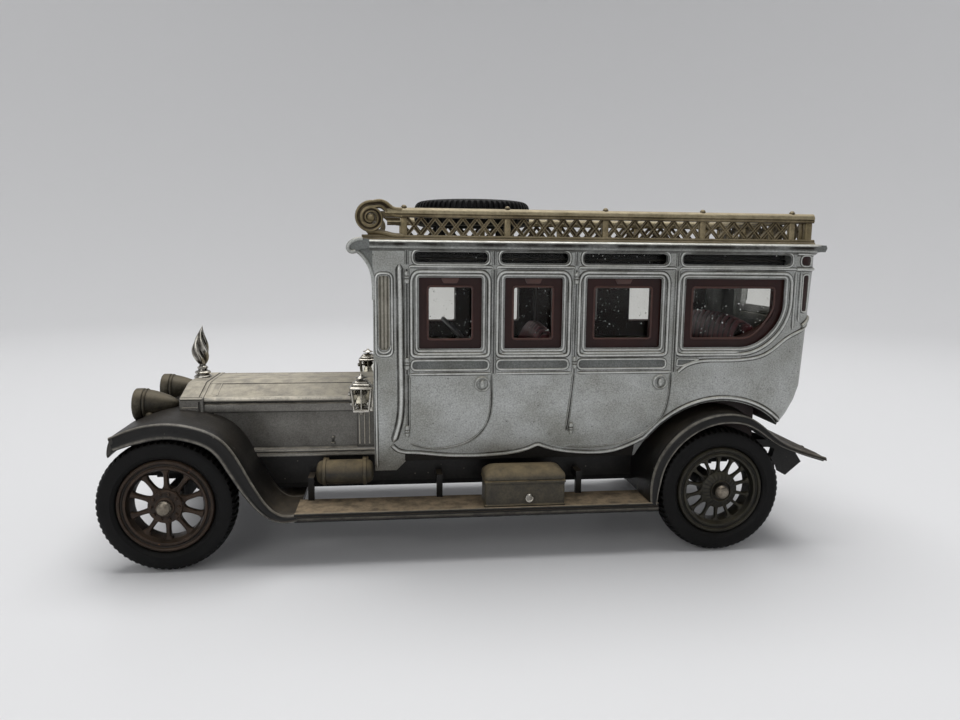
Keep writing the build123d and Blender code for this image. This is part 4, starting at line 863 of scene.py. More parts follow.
# %% Running boards
board_outline = np.array([
    (-12.5, 7.3), (-12.5, 8.42), (-12.6, 8.5), (-19.2, 8.5), (-19.75, 8.5), (-19.92, 8.56), (-20.05, 8.78),
    (-20.22, 8.86), (-20.38, 8.8), (-20.47, 8.62), (-20.44, 8.42), (-20.34, 8.32), (-20.44, 8.2),
    (-20.5, 8.0),
    (-20.5, 7.6), (-20.42, 7.38), (-20.2, 7.3),
])
board_shade = np.array([1, 0.5, 0.2, 0, 0.4, 0.9, 0.1, -1, -0.8, 0.2, 0.8, 1, 0.6, -0.5, 0, 0.3, 1])
board_path = np.stack([np.linspace(board_front - 0.4, board_rear + 1.1, 60), np.zeros(60), np.zeros(60)], 1)
board_shape = swept(board_path, board_outline, np.array([[0, 0, 1.0]]), grime_and_shade=board_shade[None])
for hand, mirror in (("left", False), ("right", True)):
    make(f"running_board_{hand}_beaded", shifted([board_shape], mirror=mirror), board_enamel,
         replaces=[f"running_board_{hand}"])

# %% [markdown]
# ## The coach body
# The body is one casting with its mouldings cast on: beads round the windows, belt panels, door outlines and
# a bead along the bottom that rises in a cusp between the doors and runs on over the rear wheel. The CAD
# casting is kept as the wall, joined so that it shades smoothly, and each bead is a small section carried
# over the coach's own surface. That surface is a formula: sides drawn in by an arc of radius 37 below
# z = 30, a tail that tucks under, and round corners between them.

# %% The coach's surface
tuck_corner = 3.2


def inset(z):
    """How far the side is drawn in at height z: 37 - sqrt(37^2 - (30 - z)^2) below z = 30."""
    drop = np.clip(30.0 - z, 0, None)
    return 37.0 - np.sqrt(37.0**2 - drop**2)


def setback(z):
    """How far the tail lies in front of its rearmost line at height z."""
    low = 0.9 + 2.8 * ((30.0 - z) / 9.2) ** 2
    high = 0.9 * (47.8 - z) / 17.8 + 0.1
    return np.where(z < 30, low, np.where(z < 47.8, high, 0.1))


def coach(s, z):
    """Point on the left skin: s is x along the side, then runs on round the corner and over the tail."""
    half, rear = body_half_width - inset(z), rear_line_x - setback(z)
    start = rear - tuck_corner
    turn = np.clip((s - start) / tuck_corner, 0, pi / 2)
    past = np.clip(s - start - tuck_corner * pi / 2, 0, None)
    x = np.minimum(s, start) + tuck_corner * np.sin(turn)
    y = -(half - tuck_corner + tuck_corner * np.cos(turn)) + past
    return np.stack([x, y, z], -1)


def skin_normals(s, z):
    """Outward normals of the skin, from its slopes along s and z."""
    step = 0.02
    along = coach(s + step, z) - coach(s - step, z)
    upward = coach(s, z + step) - coach(s, z - step)
    normal = np.cross(along, upward)
    return normal / np.linalg.norm(normal, axis=1, keepdims=True)


rear_line_x = rear_axle + 16.5
tail_middle = rear_line_x - tuck_corner + tuck_corner * pi / 2 + body_half_width - tuck_corner

# bead sections: (across, out, dirt and painted shade, below 0 wear and a painted highlight) for a half width
# w and height h
bead_shape = np.array([
    (-1.9, 0.0, 0.0), (-1.35, 0.05, 0.95), (-1.0, 0.1, 1.0), (-0.85, 0.5, 0.3), (-0.5, 0.88, -0.3),
    (0.0, 1.0, -0.8),
    (0.5, 0.88, -0.3), (0.85, 0.5, 0.3), (1.0, 0.1, 1.0), (1.35, 0.05, 0.95), (1.9, 0.0, 0.0),
    (1.0, -0.5, 0.5),
    (-1.0, -0.5, 0.5),
])
twin_shape = np.array([
    (-1.7, 0.0, 0.0), (-1.1, 0.1, 0.7), (-0.85, 0.8, 0.1), (-0.6, 1.0, 0.0), (-0.35, 0.7, 0.3),
    (-0.15, 0.05, 1.0),
    (0.15, 0.05, 1.0), (0.35, 0.7, 0.3), (0.6, 1.0, 0.0), (0.85, 0.8, 0.1), (1.1, 0.1, 0.7), (1.7, 0.0, 0.0),
    (0.9, -0.4, 0.5), (-0.9, -0.4, 0.5),
])


def bead(line, half_width, height, closed=False, shape=bead_shape, step=0.35, taper=True):
    """A moulding along a line of (s, z) on the skin, thinning to nothing at its free ends."""
    line = evened(line, step, closed)
    path, normals = coach(line[:, 0], line[:, 1]), skin_normals(line[:, 0], line[:, 1])
    station = np.arange(len(line))
    ends = np.minimum(station, station[::-1])
    size = np.ones(len(line)) if closed or not taper else np.clip((ends + 0.6) / 2.2, 0, 1)
    section = shape[None, :, :2] * np.array([half_width, height]) * size[:, None, None]
    return swept(path, section, normals, closed=closed, grime_and_shade=shape[None, :, 2])


def patch(line, lift, rows=3):
    """A thin plate inside a closed line of (s, z), a little above the skin: its points run to the middle."""
    line = evened(line, 0.5, True)
    middle = line.mean(0)
    top = []
    for share in np.linspace(1, 0.02, rows):
        ring = middle + (line - middle) * share
        top.append(coach(ring[:, 0], ring[:, 1]) + skin_normals(ring[:, 0], ring[:, 1]) * lift)
    base = coach(line[:, 0], line[:, 1]) - skin_normals(line[:, 0], line[:, 1]) * 0.1
    shade = np.array([0.5, 0.5] + [0.1] * (rows - 1))[: rows + 1, None]
    return shell(np.array([base, *top]), grime_and_shade=shade)


def drawn(points):
    """Lines on the coach are drawn for a rear axle at x = 40; this moves them to where the axle is."""
    return np.array(points, float) + np.array([rear_axle - 40.0, 0])


def both(shells):
    """The left-hand shells with their mirror images."""
    return shells + shifted(shells, mirror=True)


# %% The casting itself
smoothed("body_shell", silver_enamel, "coach_body_casting", angle=40)

# %% Window mouldings
window_beads, window_lips, slot_beads, shade_plates = [], [], [], []
swept_reach = 7.5
for index, (front, rear) in enumerate(windows):
    side, low, high = 1.0, window_sill - 1.05, window_head + 0.72
    if index < 3:
        corners = [(front - side, low), (rear + side, low)]
        lip = [(front - 0.2, window_sill - 0.2), (rear + 0.2, window_sill - 0.2)]
    else:
        height = window_head - window_sill
        corner_line = lambda gap: smooth_line([
            (rear - swept_reach - 1.5, window_sill - gap),
            (rear - swept_reach + 1.0, window_sill - gap + 0.06),
            (rear - swept_reach * 0.28 + gap * 0.75, window_sill + height * 0.22 - gap * 0.66),
            (rear + gap, window_sill + height * 0.62), (rear + gap, window_sill + height * 0.62 + 1.5)],
            22).tolist()
        corners = [(front - side, low)] + corner_line(1.02)
        lip = [(front - 0.2, window_sill - 0.2)] + corner_line(0.2)
    corners += [(rear + side, high - 1.0), (rear + side - 0.75, high), (front - side + 0.75, high)]
    corners += [(front - side, high - 1.0)]
    lip += [(rear + 0.2, window_head + 0.2), (front - 0.2, window_head + 0.2)]
    window_beads.append(bead(rounded_line(corners, 0.75, True, 5), 0.26, 0.3, closed=True))
    window_lips.append(bead(rounded_line(lip, 0.6, True, 5), 0.2, 0.13, closed=True))
    sill = [(front - 0.2, low + 0.42), (rear - (swept_reach if index == 3 else -0.2), low + 0.42)]
    window_beads.append(bead(sill, 0.22, 0.34))
    slot_low, slot_high, slot_front, slot_rear = 47.8 - 0.2, 49.7 + 0.18, front - 0.8, rear + 1.0
    slot = [(slot_front, slot_low), (slot_rear, slot_low), (slot_rear, slot_high), (slot_front, slot_high)]
    slot_beads.append(bead(rounded_line(slot, 1.05, True, 7), 0.16, 0.2, closed=True, step=0.25))
make("window_mouldings", both(window_beads), silver_highlit_bead_enamel, slot="silver_enamel")
make("window_opening_lips", both(window_lips), silver_enamel, slot="silver_enamel")
make("toplight_mouldings", both(slot_beads), silver_highlit_bead_enamel, slot="silver_enamel")

# %% Pillars, belt panels and waist line
pillar_beads, belt_beads = [], []
belt_height, rail_height, pillar_head = 30.3, 47.3, 46.9
for index in range(4):
    start, end = bay_edges[index], bay_edges[index + 1]
    front, rear = windows[index]
    stop = end - 0.3 if index < 3 else rear_axle + 12.2
    pillar_beads.append(bead([(start, pillar_head), (start, belt_height)], 0.34, 0.2, shape=twin_shape,
        taper=False))
    pillar_beads.append(bead([(start, 49.95), (start, 47.6)], 0.26, 0.16, shape=twin_shape, taper=False))
    rail = rounded_line([(start + 0.35, 46.95), (start + 0.45, rail_height), (stop, rail_height),
        (stop + 0.1, 46.95)], 0.3)
    belt_beads.append(bead(rail, 0.2, 0.3))
    if index < 3:
        panel = [(front - 1.0, 30.95), (rear + 1.0, 30.95), (rear + 1.0, 32.5), (front - 1.0, 32.5)]
        belt_beads.append(bead(rounded_line(panel, 0.8, True, 6), 0.17, 0.19, closed=True, step=0.25))
        shade_plates.append(patch(rounded_line(panel, 0.8, True, 6), 0.02))
        belt_beads.append(bead([(start + 0.45, belt_height), (end - 0.25, belt_height)], 0.18, 0.2))
    else:
        short = rounded_line([(start + 0.5, 31.3), (start + 0.6, 32.45), (start + 4.4, 32.4),
            (start + 1.6, 31.35)],
                             0.25, True, 4)
        belt_beads.append(bead(short, 0.14, 0.15, closed=True, step=0.2))
        shade_plates.append(patch(short, 0.02))
rear_belt = smooth_line(drawn([
    (bay_edges[3] + 0.3, belt_height), (33.6, 31.1), (35.4, 31.85), (39.8, 32.15), (44.2, 32.3), (47.4, 33.0),
    (49.5, 34.35), (51.3, 35.8), (53.4, 36.9), (56.0, 38.0)]), 90)
round_tail = [(57.5, 38.5), (60.0, 38.7), (tail_middle - 6, 38.7), (tail_middle, 38.7)]
belt_beads.append(bead(np.vstack([rear_belt, round_tail]), 0.24, 0.26, taper=False))
belt_beads.append(bead([(54.4, 37.8), (57.0, 39.2), (60.0, 39.4), (tail_middle, 39.4)], 0.34, 0.42,
    taper=False))
for height, size in ((47.25, 0.3), (49.75, 0.24)):
    belt_beads.append(bead([(rear_axle + 12.2, height), (tail_middle, height)], size, 0.34, taper=False))
for place, foot in ((rear_axle + 12.15, 37.2), (rear_axle + 13.1, 38.6)):
    pillar_beads.append(bead([(place, pillar_head), (place, foot)], 0.2, 0.22))
rear_pane = rounded_line([(rear_axle + 13.45, 40.2), (rear_axle + 14.75, 40.2), (rear_axle + 14.75, 46.4),
                          (rear_axle + 13.45, 46.4)], 0.5, True, 5)
belt_beads.append(bead(rear_pane, 0.14, 0.18, closed=True, step=0.25))
rear_slot = rounded_line([(rear_axle + 12.9, 47.75), (rear_axle + 15.0, 47.75), (rear_axle + 15.0, 49.5),
                          (rear_axle + 12.9, 49.5)], 0.8, True, 6)
belt_beads.append(bead(rear_slot, 0.14, 0.18, closed=True, step=0.25))
back_frame = [(tail_middle - 7.2, 37.8 + 2.9), (tail_middle - 7.2, 46.2), (tail_middle, 46.2)]
belt_beads.append(bead(rounded_line(back_frame, 0.6), 0.24, 0.28, taper=False))
make("pillar_mouldings", both(pillar_beads), silver_enamel, slot="silver_enamel")
make("belt_mouldings", both(belt_beads), silver_highlit_bead_enamel, slot="silver_enamel")
make("rear_corner_panes", both([patch(rear_pane, 0.04), patch(rear_slot, 0.04)]), maroon_moulding,
    slot="silver_enamel")
# thin plates in the belt panels take the darker silver as painted shade
make("belt_panel_shaded_fields", both(shade_plates), silver_shade_enamel, slot="silver_enamel")

# %% Door outlines and the bottom bead
door_lines = []
first_door = np.vstack([
    [(bay_edges[1] - 0.25, 30.2), (bay_edges[1] - 0.2, 27.0)],
    smooth_line(drawn(
        [(1.6, 25.9), (1.35, 23.2), (0.2, 20.6), (-2.0, 18.7), (-5.2, 17.7), (-8.2, 17.6), (-11.5, 18.55)]),
        44),
])
second_door = np.vstack([
    [(bay_edges[3] - 0.4, 30.2), (bay_edges[3] - 0.45, 27.2)],
    smooth_line(drawn([(31.3, 25.9), (30.6, 22.9), (28.6, 20.4), (25.2, 18.4), (20.6, 17.35), (14.4, 17.5)]),
    44),
])
for line in (first_door, second_door):
    door_lines.append(bead(line, 0.2, 0.2, shape=twin_shape))
door_lines.append(bead([(bay_edges[0] + 0.15, 30.3), (bay_edges[0] + 0.15, 20.6)], 0.3, 0.2,
    shape=twin_shape))
door_lines.append(bead([(bay_edges[2], 30.3), (bay_edges[2] - 0.75, 20.4)], 0.24, 0.18, shape=twin_shape))
bottom_front = smooth_line(drawn([
    (-14.35, 18.3), (-13.6, 17.5), (-10.9, 16.95), (-6.7, 16.45), (-1.8, 16.15), (3.1, 16.3), (6.4, 16.75),
    (8.3, 17.35), (9.5, 17.95)]), 60)
bottom_rear = smooth_line(drawn(
    [(9.9, 17.95), (11.2, 17.45), (14.2, 16.7), (19.0, 16.25), (23.0, 16.6), (26.4, 18.0)]), 40)
arch_centre, arch_reach = (rear_axle + 0.8, axle_height), fender_radius + 2.4
arch_turn = np.radians(np.linspace(147, 45.5, 60))
arch_line = np.stack([arch_centre[0] + arch_reach * np.cos(arch_turn),
    arch_centre[1] + arch_reach * np.sin(arch_turn)], 1)
bottom_line = np.vstack([bottom_front, bottom_rear, arch_line])
door_lines.append(bead(bottom_line, 0.3, 0.34, taper=False))
a_post = smooth_line(drawn(
    [(-13.1, 47.6), (-13.0, 42.0), (-12.95, 34.0), (-12.9, 27.0), (-13.2, 22.5), (-14.2, 18.9)]), 60)
door_lines.append(bead(a_post, 0.42, 0.38))
light = rounded_line([(dash + 0.45, 46.2), (dash + 0.45, 33.3), (dash + 2.95, 33.3), (dash + 2.95, 46.2)],
    0.9, True)
door_lines.append(bead(light, 0.2, 0.26, closed=True))
door_lines.append(bead([(dash + 0.35, 32.4), (dash + 0.35, 13.9)], 0.2, 0.2))
make("door_and_sill_beads", both(door_lines), silver_highlit_bead_enamel, slot="silver_enamel")

# the front quarter light is cast blind, with upright flutes on a ground darkened by dirt and painted shade,
# and a turned-up lip at its foot
flute_x = np.linspace(dash + 0.5, dash + 2.9, 61)
flute_rise = np.abs(np.sin(pi * (flute_x - flute_x[0]) / 0.6)) ** 0.7
flute_y = -(body_half_width - 0.75) - 0.22 * flute_rise
flute_front = np.stack([flute_x, flute_y], 1)
flute_back = np.array([(dash + 2.9, -15.9), (dash + 0.5, -15.9)])
flute_plan = np.vstack([flute_front, flute_back])
flute_levels = np.array([33.5, 33.9, 38.0, 42.0, 46.0])
flutes = np.stack([np.column_stack([flute_plan, np.full(len(flute_plan), z)]) for z in flute_levels])
flute_shade = np.append(1.0 - 1.4 * flute_rise, [1.0, 1.0])[None]
foot_lip = bead(smooth_line([(dash + 0.7, 35.0), (dash + 0.9, 34.1), (dash + 1.7, 33.75), (dash + 2.5, 34.1),
    (dash + 2.7, 35.0)], 24),
                0.16, 0.3)
make("quarter_light_flutes", both([shell(flutes[:, ::-1], grime_and_shade=flute_shade[:, ::-1])]), blind_light_paint,
    slot="silver_enamel")
make("quarter_light_lips", both([foot_lip]), silver_highlit_bead_enamel, slot="silver_enamel")

# a black strip painted as shadow below the bottom bead, following its cusp, laid over the silver skin
painted_shadow_line = evened(np.vstack([bottom_front[6:], bottom_rear]), 0.5)
upper = coach(painted_shadow_line[:, 0], painted_shadow_line[:, 1] - 0.12)
lower = coach(painted_shadow_line[:, 0], np.full(len(painted_shadow_line), 15.38))
out = skin_normals(painted_shadow_line[:, 0], painted_shadow_line[:, 1])
painted_shadow_strip = shell(np.stack([upper + out * 0.06, lower + out * 0.06, lower - out * 0.3, upper - out * 0.3], 1),
    grime_and_shade=1.0)
make("sill_painted_shadow_strip", both([painted_shadow_strip]), shade_darkened_black, slot="black_enamel")

# %% [markdown]
# ## Roof, cornice and visor
# The roof is a flat panel with a moulded cornice round its edge: a bright top bead, a cove and a lower step.
# At the front it runs out in a drooping visor whose edge curls. The CAD panel is kept, joined and shaded
# smoothly, and the cornice is one profile carried along both sides and round the tail.

# %% Roof panel and cornice
# the roof panel takes the darker silver, painted shade
smoothed("roof_panel", silver_shade_enamel, "roof_and_visor", angle=30)
roof_half_width = body_half_width + 0.6
visor_tip = dash - 3.6
cornice_outline = np.array([
    (-0.7, 1.22, 0.0), (-0.1, 1.26, -0.5), (0.28, 1.18, -0.8), (0.46, 1.0, -0.6), (0.34, 0.84, 0.4),
    (0.12, 0.74, 1.0),
    (0.02, 0.52, 1.0), (0.1, 0.3, 0.6), (0.16, 0.1, 0.0), (0.0, -0.06, 0.2), (-0.3, -0.12, 1.0),
    (-0.42, -0.3, 0.5), (-0.6, -0.42, 0.9), (-0.75, -0.3, 1.0), (-0.75, 0.9, 1.0),
])
roof_rear = rear_line_x + 0.35
plan = rounded_line([
    (dash - 0.4, -roof_half_width), (roof_rear - 0.3, -roof_half_width), (roof_rear - 0.3, roof_half_width),
    (dash - 0.4, roof_half_width)], 2.2, steps=8)
plan = evened(plan, 0.6)
run = np.gradient(plan, axis=0)
outward = np.stack([run[:, 1], -run[:, 0]], 1) / np.linalg.norm(run, axis=1, keepdims=True)
level = np.stack([plan[:, 0], plan[:, 1], np.full(len(plan), body_top)], 1)
points = level[:, None] + cornice_outline[None, :, :1] * np.hstack([outward, np.zeros((len(plan), 1))])[:,
    None]
points = points + cornice_outline[None, :, 1:2] * np.array([0, 0, 1.0])
cornice = shell(points, grime_and_shade=cornice_outline[None, :, 2])
make("roof_cornice", [cornice], silver_highlit_bead_enamel, slot="silver_enamel")

# the visor's curled edge, and the bead that runs from it down the front of each pillar
visor_edge = np.array([
    (visor_tip + 2.2, body_top + 1.35), (visor_tip + 1.0, body_top + 1.15),
    (visor_tip + 0.15, body_top + 0.55),
    (visor_tip - 0.05, body_top - 0.1), (visor_tip + 0.35, body_top - 0.6),
    (visor_tip + 1.1, body_top - 0.55),
])
pillar_run = np.array([
    (dash - 2.9, body_top - 0.15), (dash - 2.0, body_top - 0.75), (dash - 1.2, body_top - 1.6),
    (dash - 0.45, body_top - 2.8), (dash + 0.05, body_top - 4.6), (dash + 0.15, body_top - 8.0)])


def flank_bead(points, y, across, out):
    """A bead on an upright flank: its line of (x, z) carried at a constant y, facing left."""
    line = smooth_line(np.stack([points[:, 0], np.full(len(points), y), points[:, 1]], 1), 40)
    return swept(line, ellipse_section(across, out), np.array([[0, -1.0, 0]]), grime_and_shade=0.1)


curl = [flank_bead(visor_edge, -roof_half_width, 0.3, 0.28),
    flank_bead(pillar_run, -body_half_width, 0.3, 0.32)]
tip = np.stack([np.full(30, visor_tip + 0.12), np.linspace(-roof_half_width, roof_half_width, 30),
                np.full(30, body_top - 0.35)], 1)
curl_tip = swept(tip, ellipse_section(0.42, 0.34), np.array([[-1.0, 0, 0]]), grime_and_shade=0.1)
make("visor_curl", both(curl) + [curl_tip], silver_highlit_bead_enamel, slot="silver_enamel")

# %% [markdown]
# ## Roof rack
# A metallised plastic gallery: a base strip, square posts, a lattice of crossed bars with raised edges, and
# a heavy top rail that rolls up at the front into a scroll. The bars are far too fine to be worth a
# modifier; each is a short section between two points.

# %% Rack parts
rack_y = body_half_width - 1.0
base_high, lattice_high = roof_top + 0.9, roof_top + 3.6
rail_top = lattice_high + 1.5
rack_front, rack_rear = dash + 1.4, rear_line_x - 1.6
posts = [dash + 4.9, dash + 21.1, dash + 36.95, dash + 53.15, rear_line_x - 5.2]


def bar(start, end, normal, half_width, half_depth, ridge=0.0):
    """A straight bar between two points; its section is flat with two raised edges when ridge is above 0."""
    outline = np.array([
        (-1.0, -1.0), (-1.0, 0.6), (-0.85, 1.0 + ridge), (-0.6, 1.0 + ridge), (-0.4, 1.0), (0.4, 1.0),
        (0.6, 1.0 + ridge), (0.85, 1.0 + ridge), (1.0, 0.6), (1.0, -1.0)])
    shade = np.array([1, 0.6, 0, 0, 1, 1, 0, 0, 0.6, 1.0]) if ridge else 0.3
    path = np.linspace(start, end, 3)
    return swept(path, outline * np.array([half_width, half_depth]), np.array([normal]), grime_and_shade=shade)


def lattice(front, rear, place, normal, cell=2.3):
    """Crossed bars between two uprights; front and rear are distances along place(distance, height)."""
    count = max(1, round((rear - front) / cell))
    pitch = (rear - front) / count
    bars = []
    for index in range(count):
        left, right = front + pitch * index, front + pitch * (index + 1)
        bars.append(bar(place(left, base_high), place(right, lattice_high), normal, 0.27, 0.24, 0.35))
        bars.append(bar(place(right, base_high), place(left, lattice_high), normal, 0.27, 0.2, 0.35))
    return bars


def rail_section(half):
    """The top rail's outline: a flat underside, a groove low on its flank and a rounded top."""
    turn = np.linspace(0, pi, 13)
    dome = np.stack([half * np.cos(turn), lattice_high + 0.62 + 0.88 * np.sin(turn)], 1)
    low = np.array([
        (-half * 0.88, lattice_high + 0.5), (-half * 0.95, lattice_high + 0.3), (-half * 0.8, lattice_high),
        (half * 0.8, lattice_high), (half * 0.95, lattice_high + 0.3), (half * 0.88, lattice_high + 0.5)])
    return np.vstack([dome, low])


def straight(start, end, count=40):
    """A straight path on the car's middle plane of x, to carry a section of (y, z)."""
    return np.stack([np.linspace(start, end, count), np.zeros(count), np.zeros(count)], 1)


# %% The side rails
side_shade = np.array([-0.5] * 13 + [1.0, 0.3, 1.0, 1.0, 0.3, 1.0])
left_rail = []
top_outline = rail_section(0.85) + np.array([-rack_y, 0])
left_rail.append(swept(straight(rack_front + 0.6, rack_rear), top_outline, [[0, 0, 1.0]],
    grime_and_shade=side_shade[None]))
base_outline = np.array([
    (-0.85, roof_top), (-0.85, roof_top + 0.3), (-0.62, roof_top + 0.5), (-0.55, roof_top + 0.75),
    (-0.42, roof_top + 0.92), (0.42, roof_top + 0.92), (0.55, roof_top + 0.75), (0.62, roof_top + 0.5),
    (0.85, roof_top + 0.3), (0.85, roof_top)]) + np.array([-rack_y, 0])
base_shade = np.array([0.5, 0.1, 0.9, 0.1, 0.2, 0.2, 0.1, 0.9, 0.1, 0.5])
left_rail.append(swept(straight(dash - 1.6, rack_rear + 0.35), base_outline, [[0, 0, 1.0]],
    grime_and_shade=base_shade[None]))
for place in posts:
    low, high = (place - 0.5, -rack_y - 0.42, base_high - 0.2), (place + 0.5, -rack_y + 0.42,
        lattice_high + 0.2)
    left_rail.append(rounded_block(low, high, 0.16))
    knob = [(0.0, 0.5), (0.24, 0.45), (0.4, 0.28), (0.46, 0.1), (0.5, -0.1), (0.0, -0.1)]
    left_rail.append(turned(knob, (place, -rack_y, rail_top - 0.05), (0, 0, 1), 14, [0, 0, 0.1, 0.8, 1, 1]))


def on_left(along, height):
    """A point on the left rail's middle plane."""
    return (along, -rack_y, height)


for front, rear in zip(posts, posts[1:]):
    left_rail += lattice(front + 0.45, rear - 0.45, on_left, (0, -1.0, 0))
end_post = (rack_rear - 1.3, -rack_y - 0.45, base_high - 0.2), (rack_rear - 0.1, -rack_y + 0.45,
    lattice_high + 0.2)
left_rail.append(rounded_block(*end_post, 0.2))

# the scroll: the top rail runs down into a spiral, r = 2.1 - 1.3 p^0.9 over 1.6 turns, p from 0 to 1
scroll_centre = (dash - 0.2, roof_top + 3.45)
sweep_angle = np.linspace(radians(78), radians(78) + 2 * pi * 1.6, 150)
progress = np.linspace(0, 1, 150)
radius = 2.1 - 1.3 * progress**0.9
spiral = np.stack([
    scroll_centre[0] + radius * np.cos(sweep_angle), np.full(150, -rack_y),
    scroll_centre[1] + radius * np.sin(sweep_angle)], 1)
lead_in = smooth_line([
    (rack_front + 3.2, -rack_y, lattice_high + 0.72), (rack_front + 1.6, -rack_y, lattice_high + 0.95),
    (spiral[0, 0] + 1.3, -rack_y, spiral[0, 2] + 0.08), tuple(spiral[0])], 22)
scroll_path = np.vstack([lead_in[:-1], spiral])
scroll_path[:, 1] -= 0.25 * np.linspace(0, 1, len(scroll_path)) ** 2
band = np.interp(np.arange(len(scroll_path)), [0, 21, 60, len(scroll_path)], [0.8, 0.64, 0.52, 0.36])
scroll_outline = np.array([
    (-1.0, -0.95), (-1.0, 0.7), (-0.8, 1.0), (-0.45, 0.92), (-0.2, 0.62), (0.2, 0.62), (0.45, 0.92),
    (0.8, 1.0),
    (1.0, 0.7), (1.0, -0.95)])
scroll_shade = np.array([0.9, 0.5, 0, 0, 1, 1, 0, 0, 0.5, 0.9])
scroll_section = scroll_outline[None] * np.stack([band, np.full(len(band), 0.85)], 1)[:, None]
scroll = swept(scroll_path, scroll_section, [[0, -1.0, 0]], grime_and_shade=scroll_shade[None])
eye_button = [(0.0, 1.0), (0.3, 0.95), (0.55, 0.75), (0.66, 0.4), (0.7, -0.6), (0.0, -0.6)]
eye_disc = turned(eye_button, (scroll_centre[0], -rack_y - 0.15, scroll_centre[1]), (0, -1, 0), 20,
    [0, 0, 0.1, 0.6, 1, 1])
leg_line = smooth_line([
    (scroll_centre[0] - 0.5, -rack_y, scroll_centre[1] - 2.1),
    (scroll_centre[0] + 1.4, -rack_y, roof_top + 1.25),
    (rack_front + 1.8, -rack_y, roof_top + 0.75), (posts[0], -rack_y, roof_top + 0.7)], 30)
leg = swept(leg_line, ellipse_section(0.5, 0.7, 14), [[0, -1.0, 0]], grime_and_shade=0.3)
left_rail += [scroll, eye_disc, leg]
for hand, mirror in (("left", False), ("right", True)):
    make(f"rack_rail_{hand}_gallery", shifted(left_rail, mirror=mirror), gold_moulding,
         replaces=[f"rack_rail_{hand}"], angle=28)

# %% The rear rail
rear_x = rack_rear - 0.8
cross_half = rack_y - 0.86
cross_rail = rail_section(0.8)
across_path = np.stack([np.full(30, rear_x), np.linspace(-cross_half, cross_half, 30), np.zeros(30)], 1)
turned_section = np.stack([-cross_rail[:, 0], cross_rail[:, 1]], 1)
rear_parts = [swept(across_path, turned_section, [[0, 0, 1.0]], grime_and_shade=side_shade[None])]
cross_base = np.stack([-(base_outline[:, 0] + rack_y), base_outline[:, 1]], 1)
rear_parts.append(swept(across_path, cross_base * np.array([0.9, 1]), [[0, 0, 1.0]], grime_and_shade=base_shade[None]))


def on_rear(along, height):
    """A point on the rear rail's middle plane."""
    return (rear_x, along, height)


stations = np.linspace(-cross_half + 0.6, cross_half - 0.6, 4)
for y in stations:
    rear_parts.append(rounded_block((rear_x - 0.42, y - 0.5, base_high - 0.2),
        (rear_x + 0.42, y + 0.5, lattice_high + 0.2), 0.16))
for low, high in zip(stations, stations[1:]):
    rear_parts += lattice(low + 0.45, high - 0.45, on_rear, (1.0, 0, 0))
make("rack_rear_gallery", rear_parts, gold_moulding, replaces=["rack_rear_rail"], angle=28)

# %% [markdown]
# ## Spare tyre
# A fifth vinyl tyre lies flat inside the rack on four short feet; only its toothed edge shows over the rail.

# %% Spare tyre on its feet
spare_low, spare_high = span("spare_tyre")
spare_centre = ((spare_low[0] + spare_high[0]) / 2, 0, spare_high[2] - 2.3)
spare_outer = (spare_high[0] - spare_low[0]) / 2
spare = [toothed_tyre(spare_centre, (0, 0, 1), 6.4, spare_outer, 4.5)]
for turn in np.radians([45, 135, 225, 315]):
    foot = (spare_centre[0] + 8.35 * cos(turn), 8.35 * sin(turn), roof_top - 0.02)
    spare.append(turned([(0.0, 0.0), (0.95, 0.0), (0.8, 0.4), (0.8, 2.8), (0.0, 2.8)], foot, (0, 0, 1), 16,
        [1] * 5))
make("spare_toothed_tyre", spare, tyre_rubber, replaces=["spare_tyre"], angle=40)

# %% [markdown]
# ## Bonnet
# One outline of the bonnet's left half, from its lower bead up the side, round the shoulder and over the
# slanted top to the middle, is mirrored and carried from the radiator to the dash. Its side panel is sunk
# between two borders: the last column says how much of the sinking each point takes.

# %% The bonnet's outline and skin
bonnet_outline = np.array([
    # inward from the half width, z, dirt and painted shade (below 0 wear and a painted highlight), share of
    # the panel's sinking
    (0.30, 15.30, 0.9, 0), (0.03, 15.36, 0.2, 0), (0.00, 15.60, -0.5, 0), (0.03, 15.86, 0.2, 0),
    (0.26, 15.98, 1.0, 0), (0.26, 16.08, 1.0, 0), (0.03, 16.18, 0.2, 0), (0.00, 16.40, -0.6, 0),
    (0.05, 16.64, 0.2, 0), (0.14, 16.76, 0.9, 0.4), (0.14, 16.95, 0.8, 1), (0.14, 17.2, 0.45, 1),
    (0.14, 19.0, 0.3, 1), (0.14, 21.0, 0.25, 1), (0.14, 22.8, 0.4, 1), (0.12, 23.0, 0.9, 1),
    (0.05, 23.12, 0.2, 0), (0.03, 23.3, 0.0, 0), (0.03, 24.2, 0.1, 0), (0.08, 24.34, 0.6, 0),
    (0.42, 24.46, 1.0, 0), (0.42, 24.66, 1.0, 0), (0.10, 24.78, 0.3, 0), (0.00, 24.95, -0.5, 0),
    (0.00, 25.25, -1.0, 0), (0.14, 25.50, -1.0, 0), (0.40, 25.62, -0.3, 0), (0.62, 25.70, 0.7, 0),
    (0.80, 25.72, 0.3, 0), (2.20, 26.18, 0.1, 0), (3.60, 26.62, 0.15, 0), (4.70, 26.94, 0.2, 0),
    (4.80, 26.90, 1.0, 0), (4.92, 26.92, 0.8, 0), (5.00, 27.06, 0.0, 0), (5.40, 27.14, 0.0, 0),
    (5.85, 27.16, 0.0, 0), (5.95, 27.06, 0.9, 0), (6.10, 27.10, 0.5, 0), (6.60, 27.20, 0.2, 0),
    (9.60, 27.22, 0.1, 0), (9.80, 27.16, 0.9, 0), (9.95, 27.26, 0.1, 0), (10.2, 27.30, 0.0, 0),
])
panel_front, panel_rear = bonnet_front + 1.55, dash - 3.1
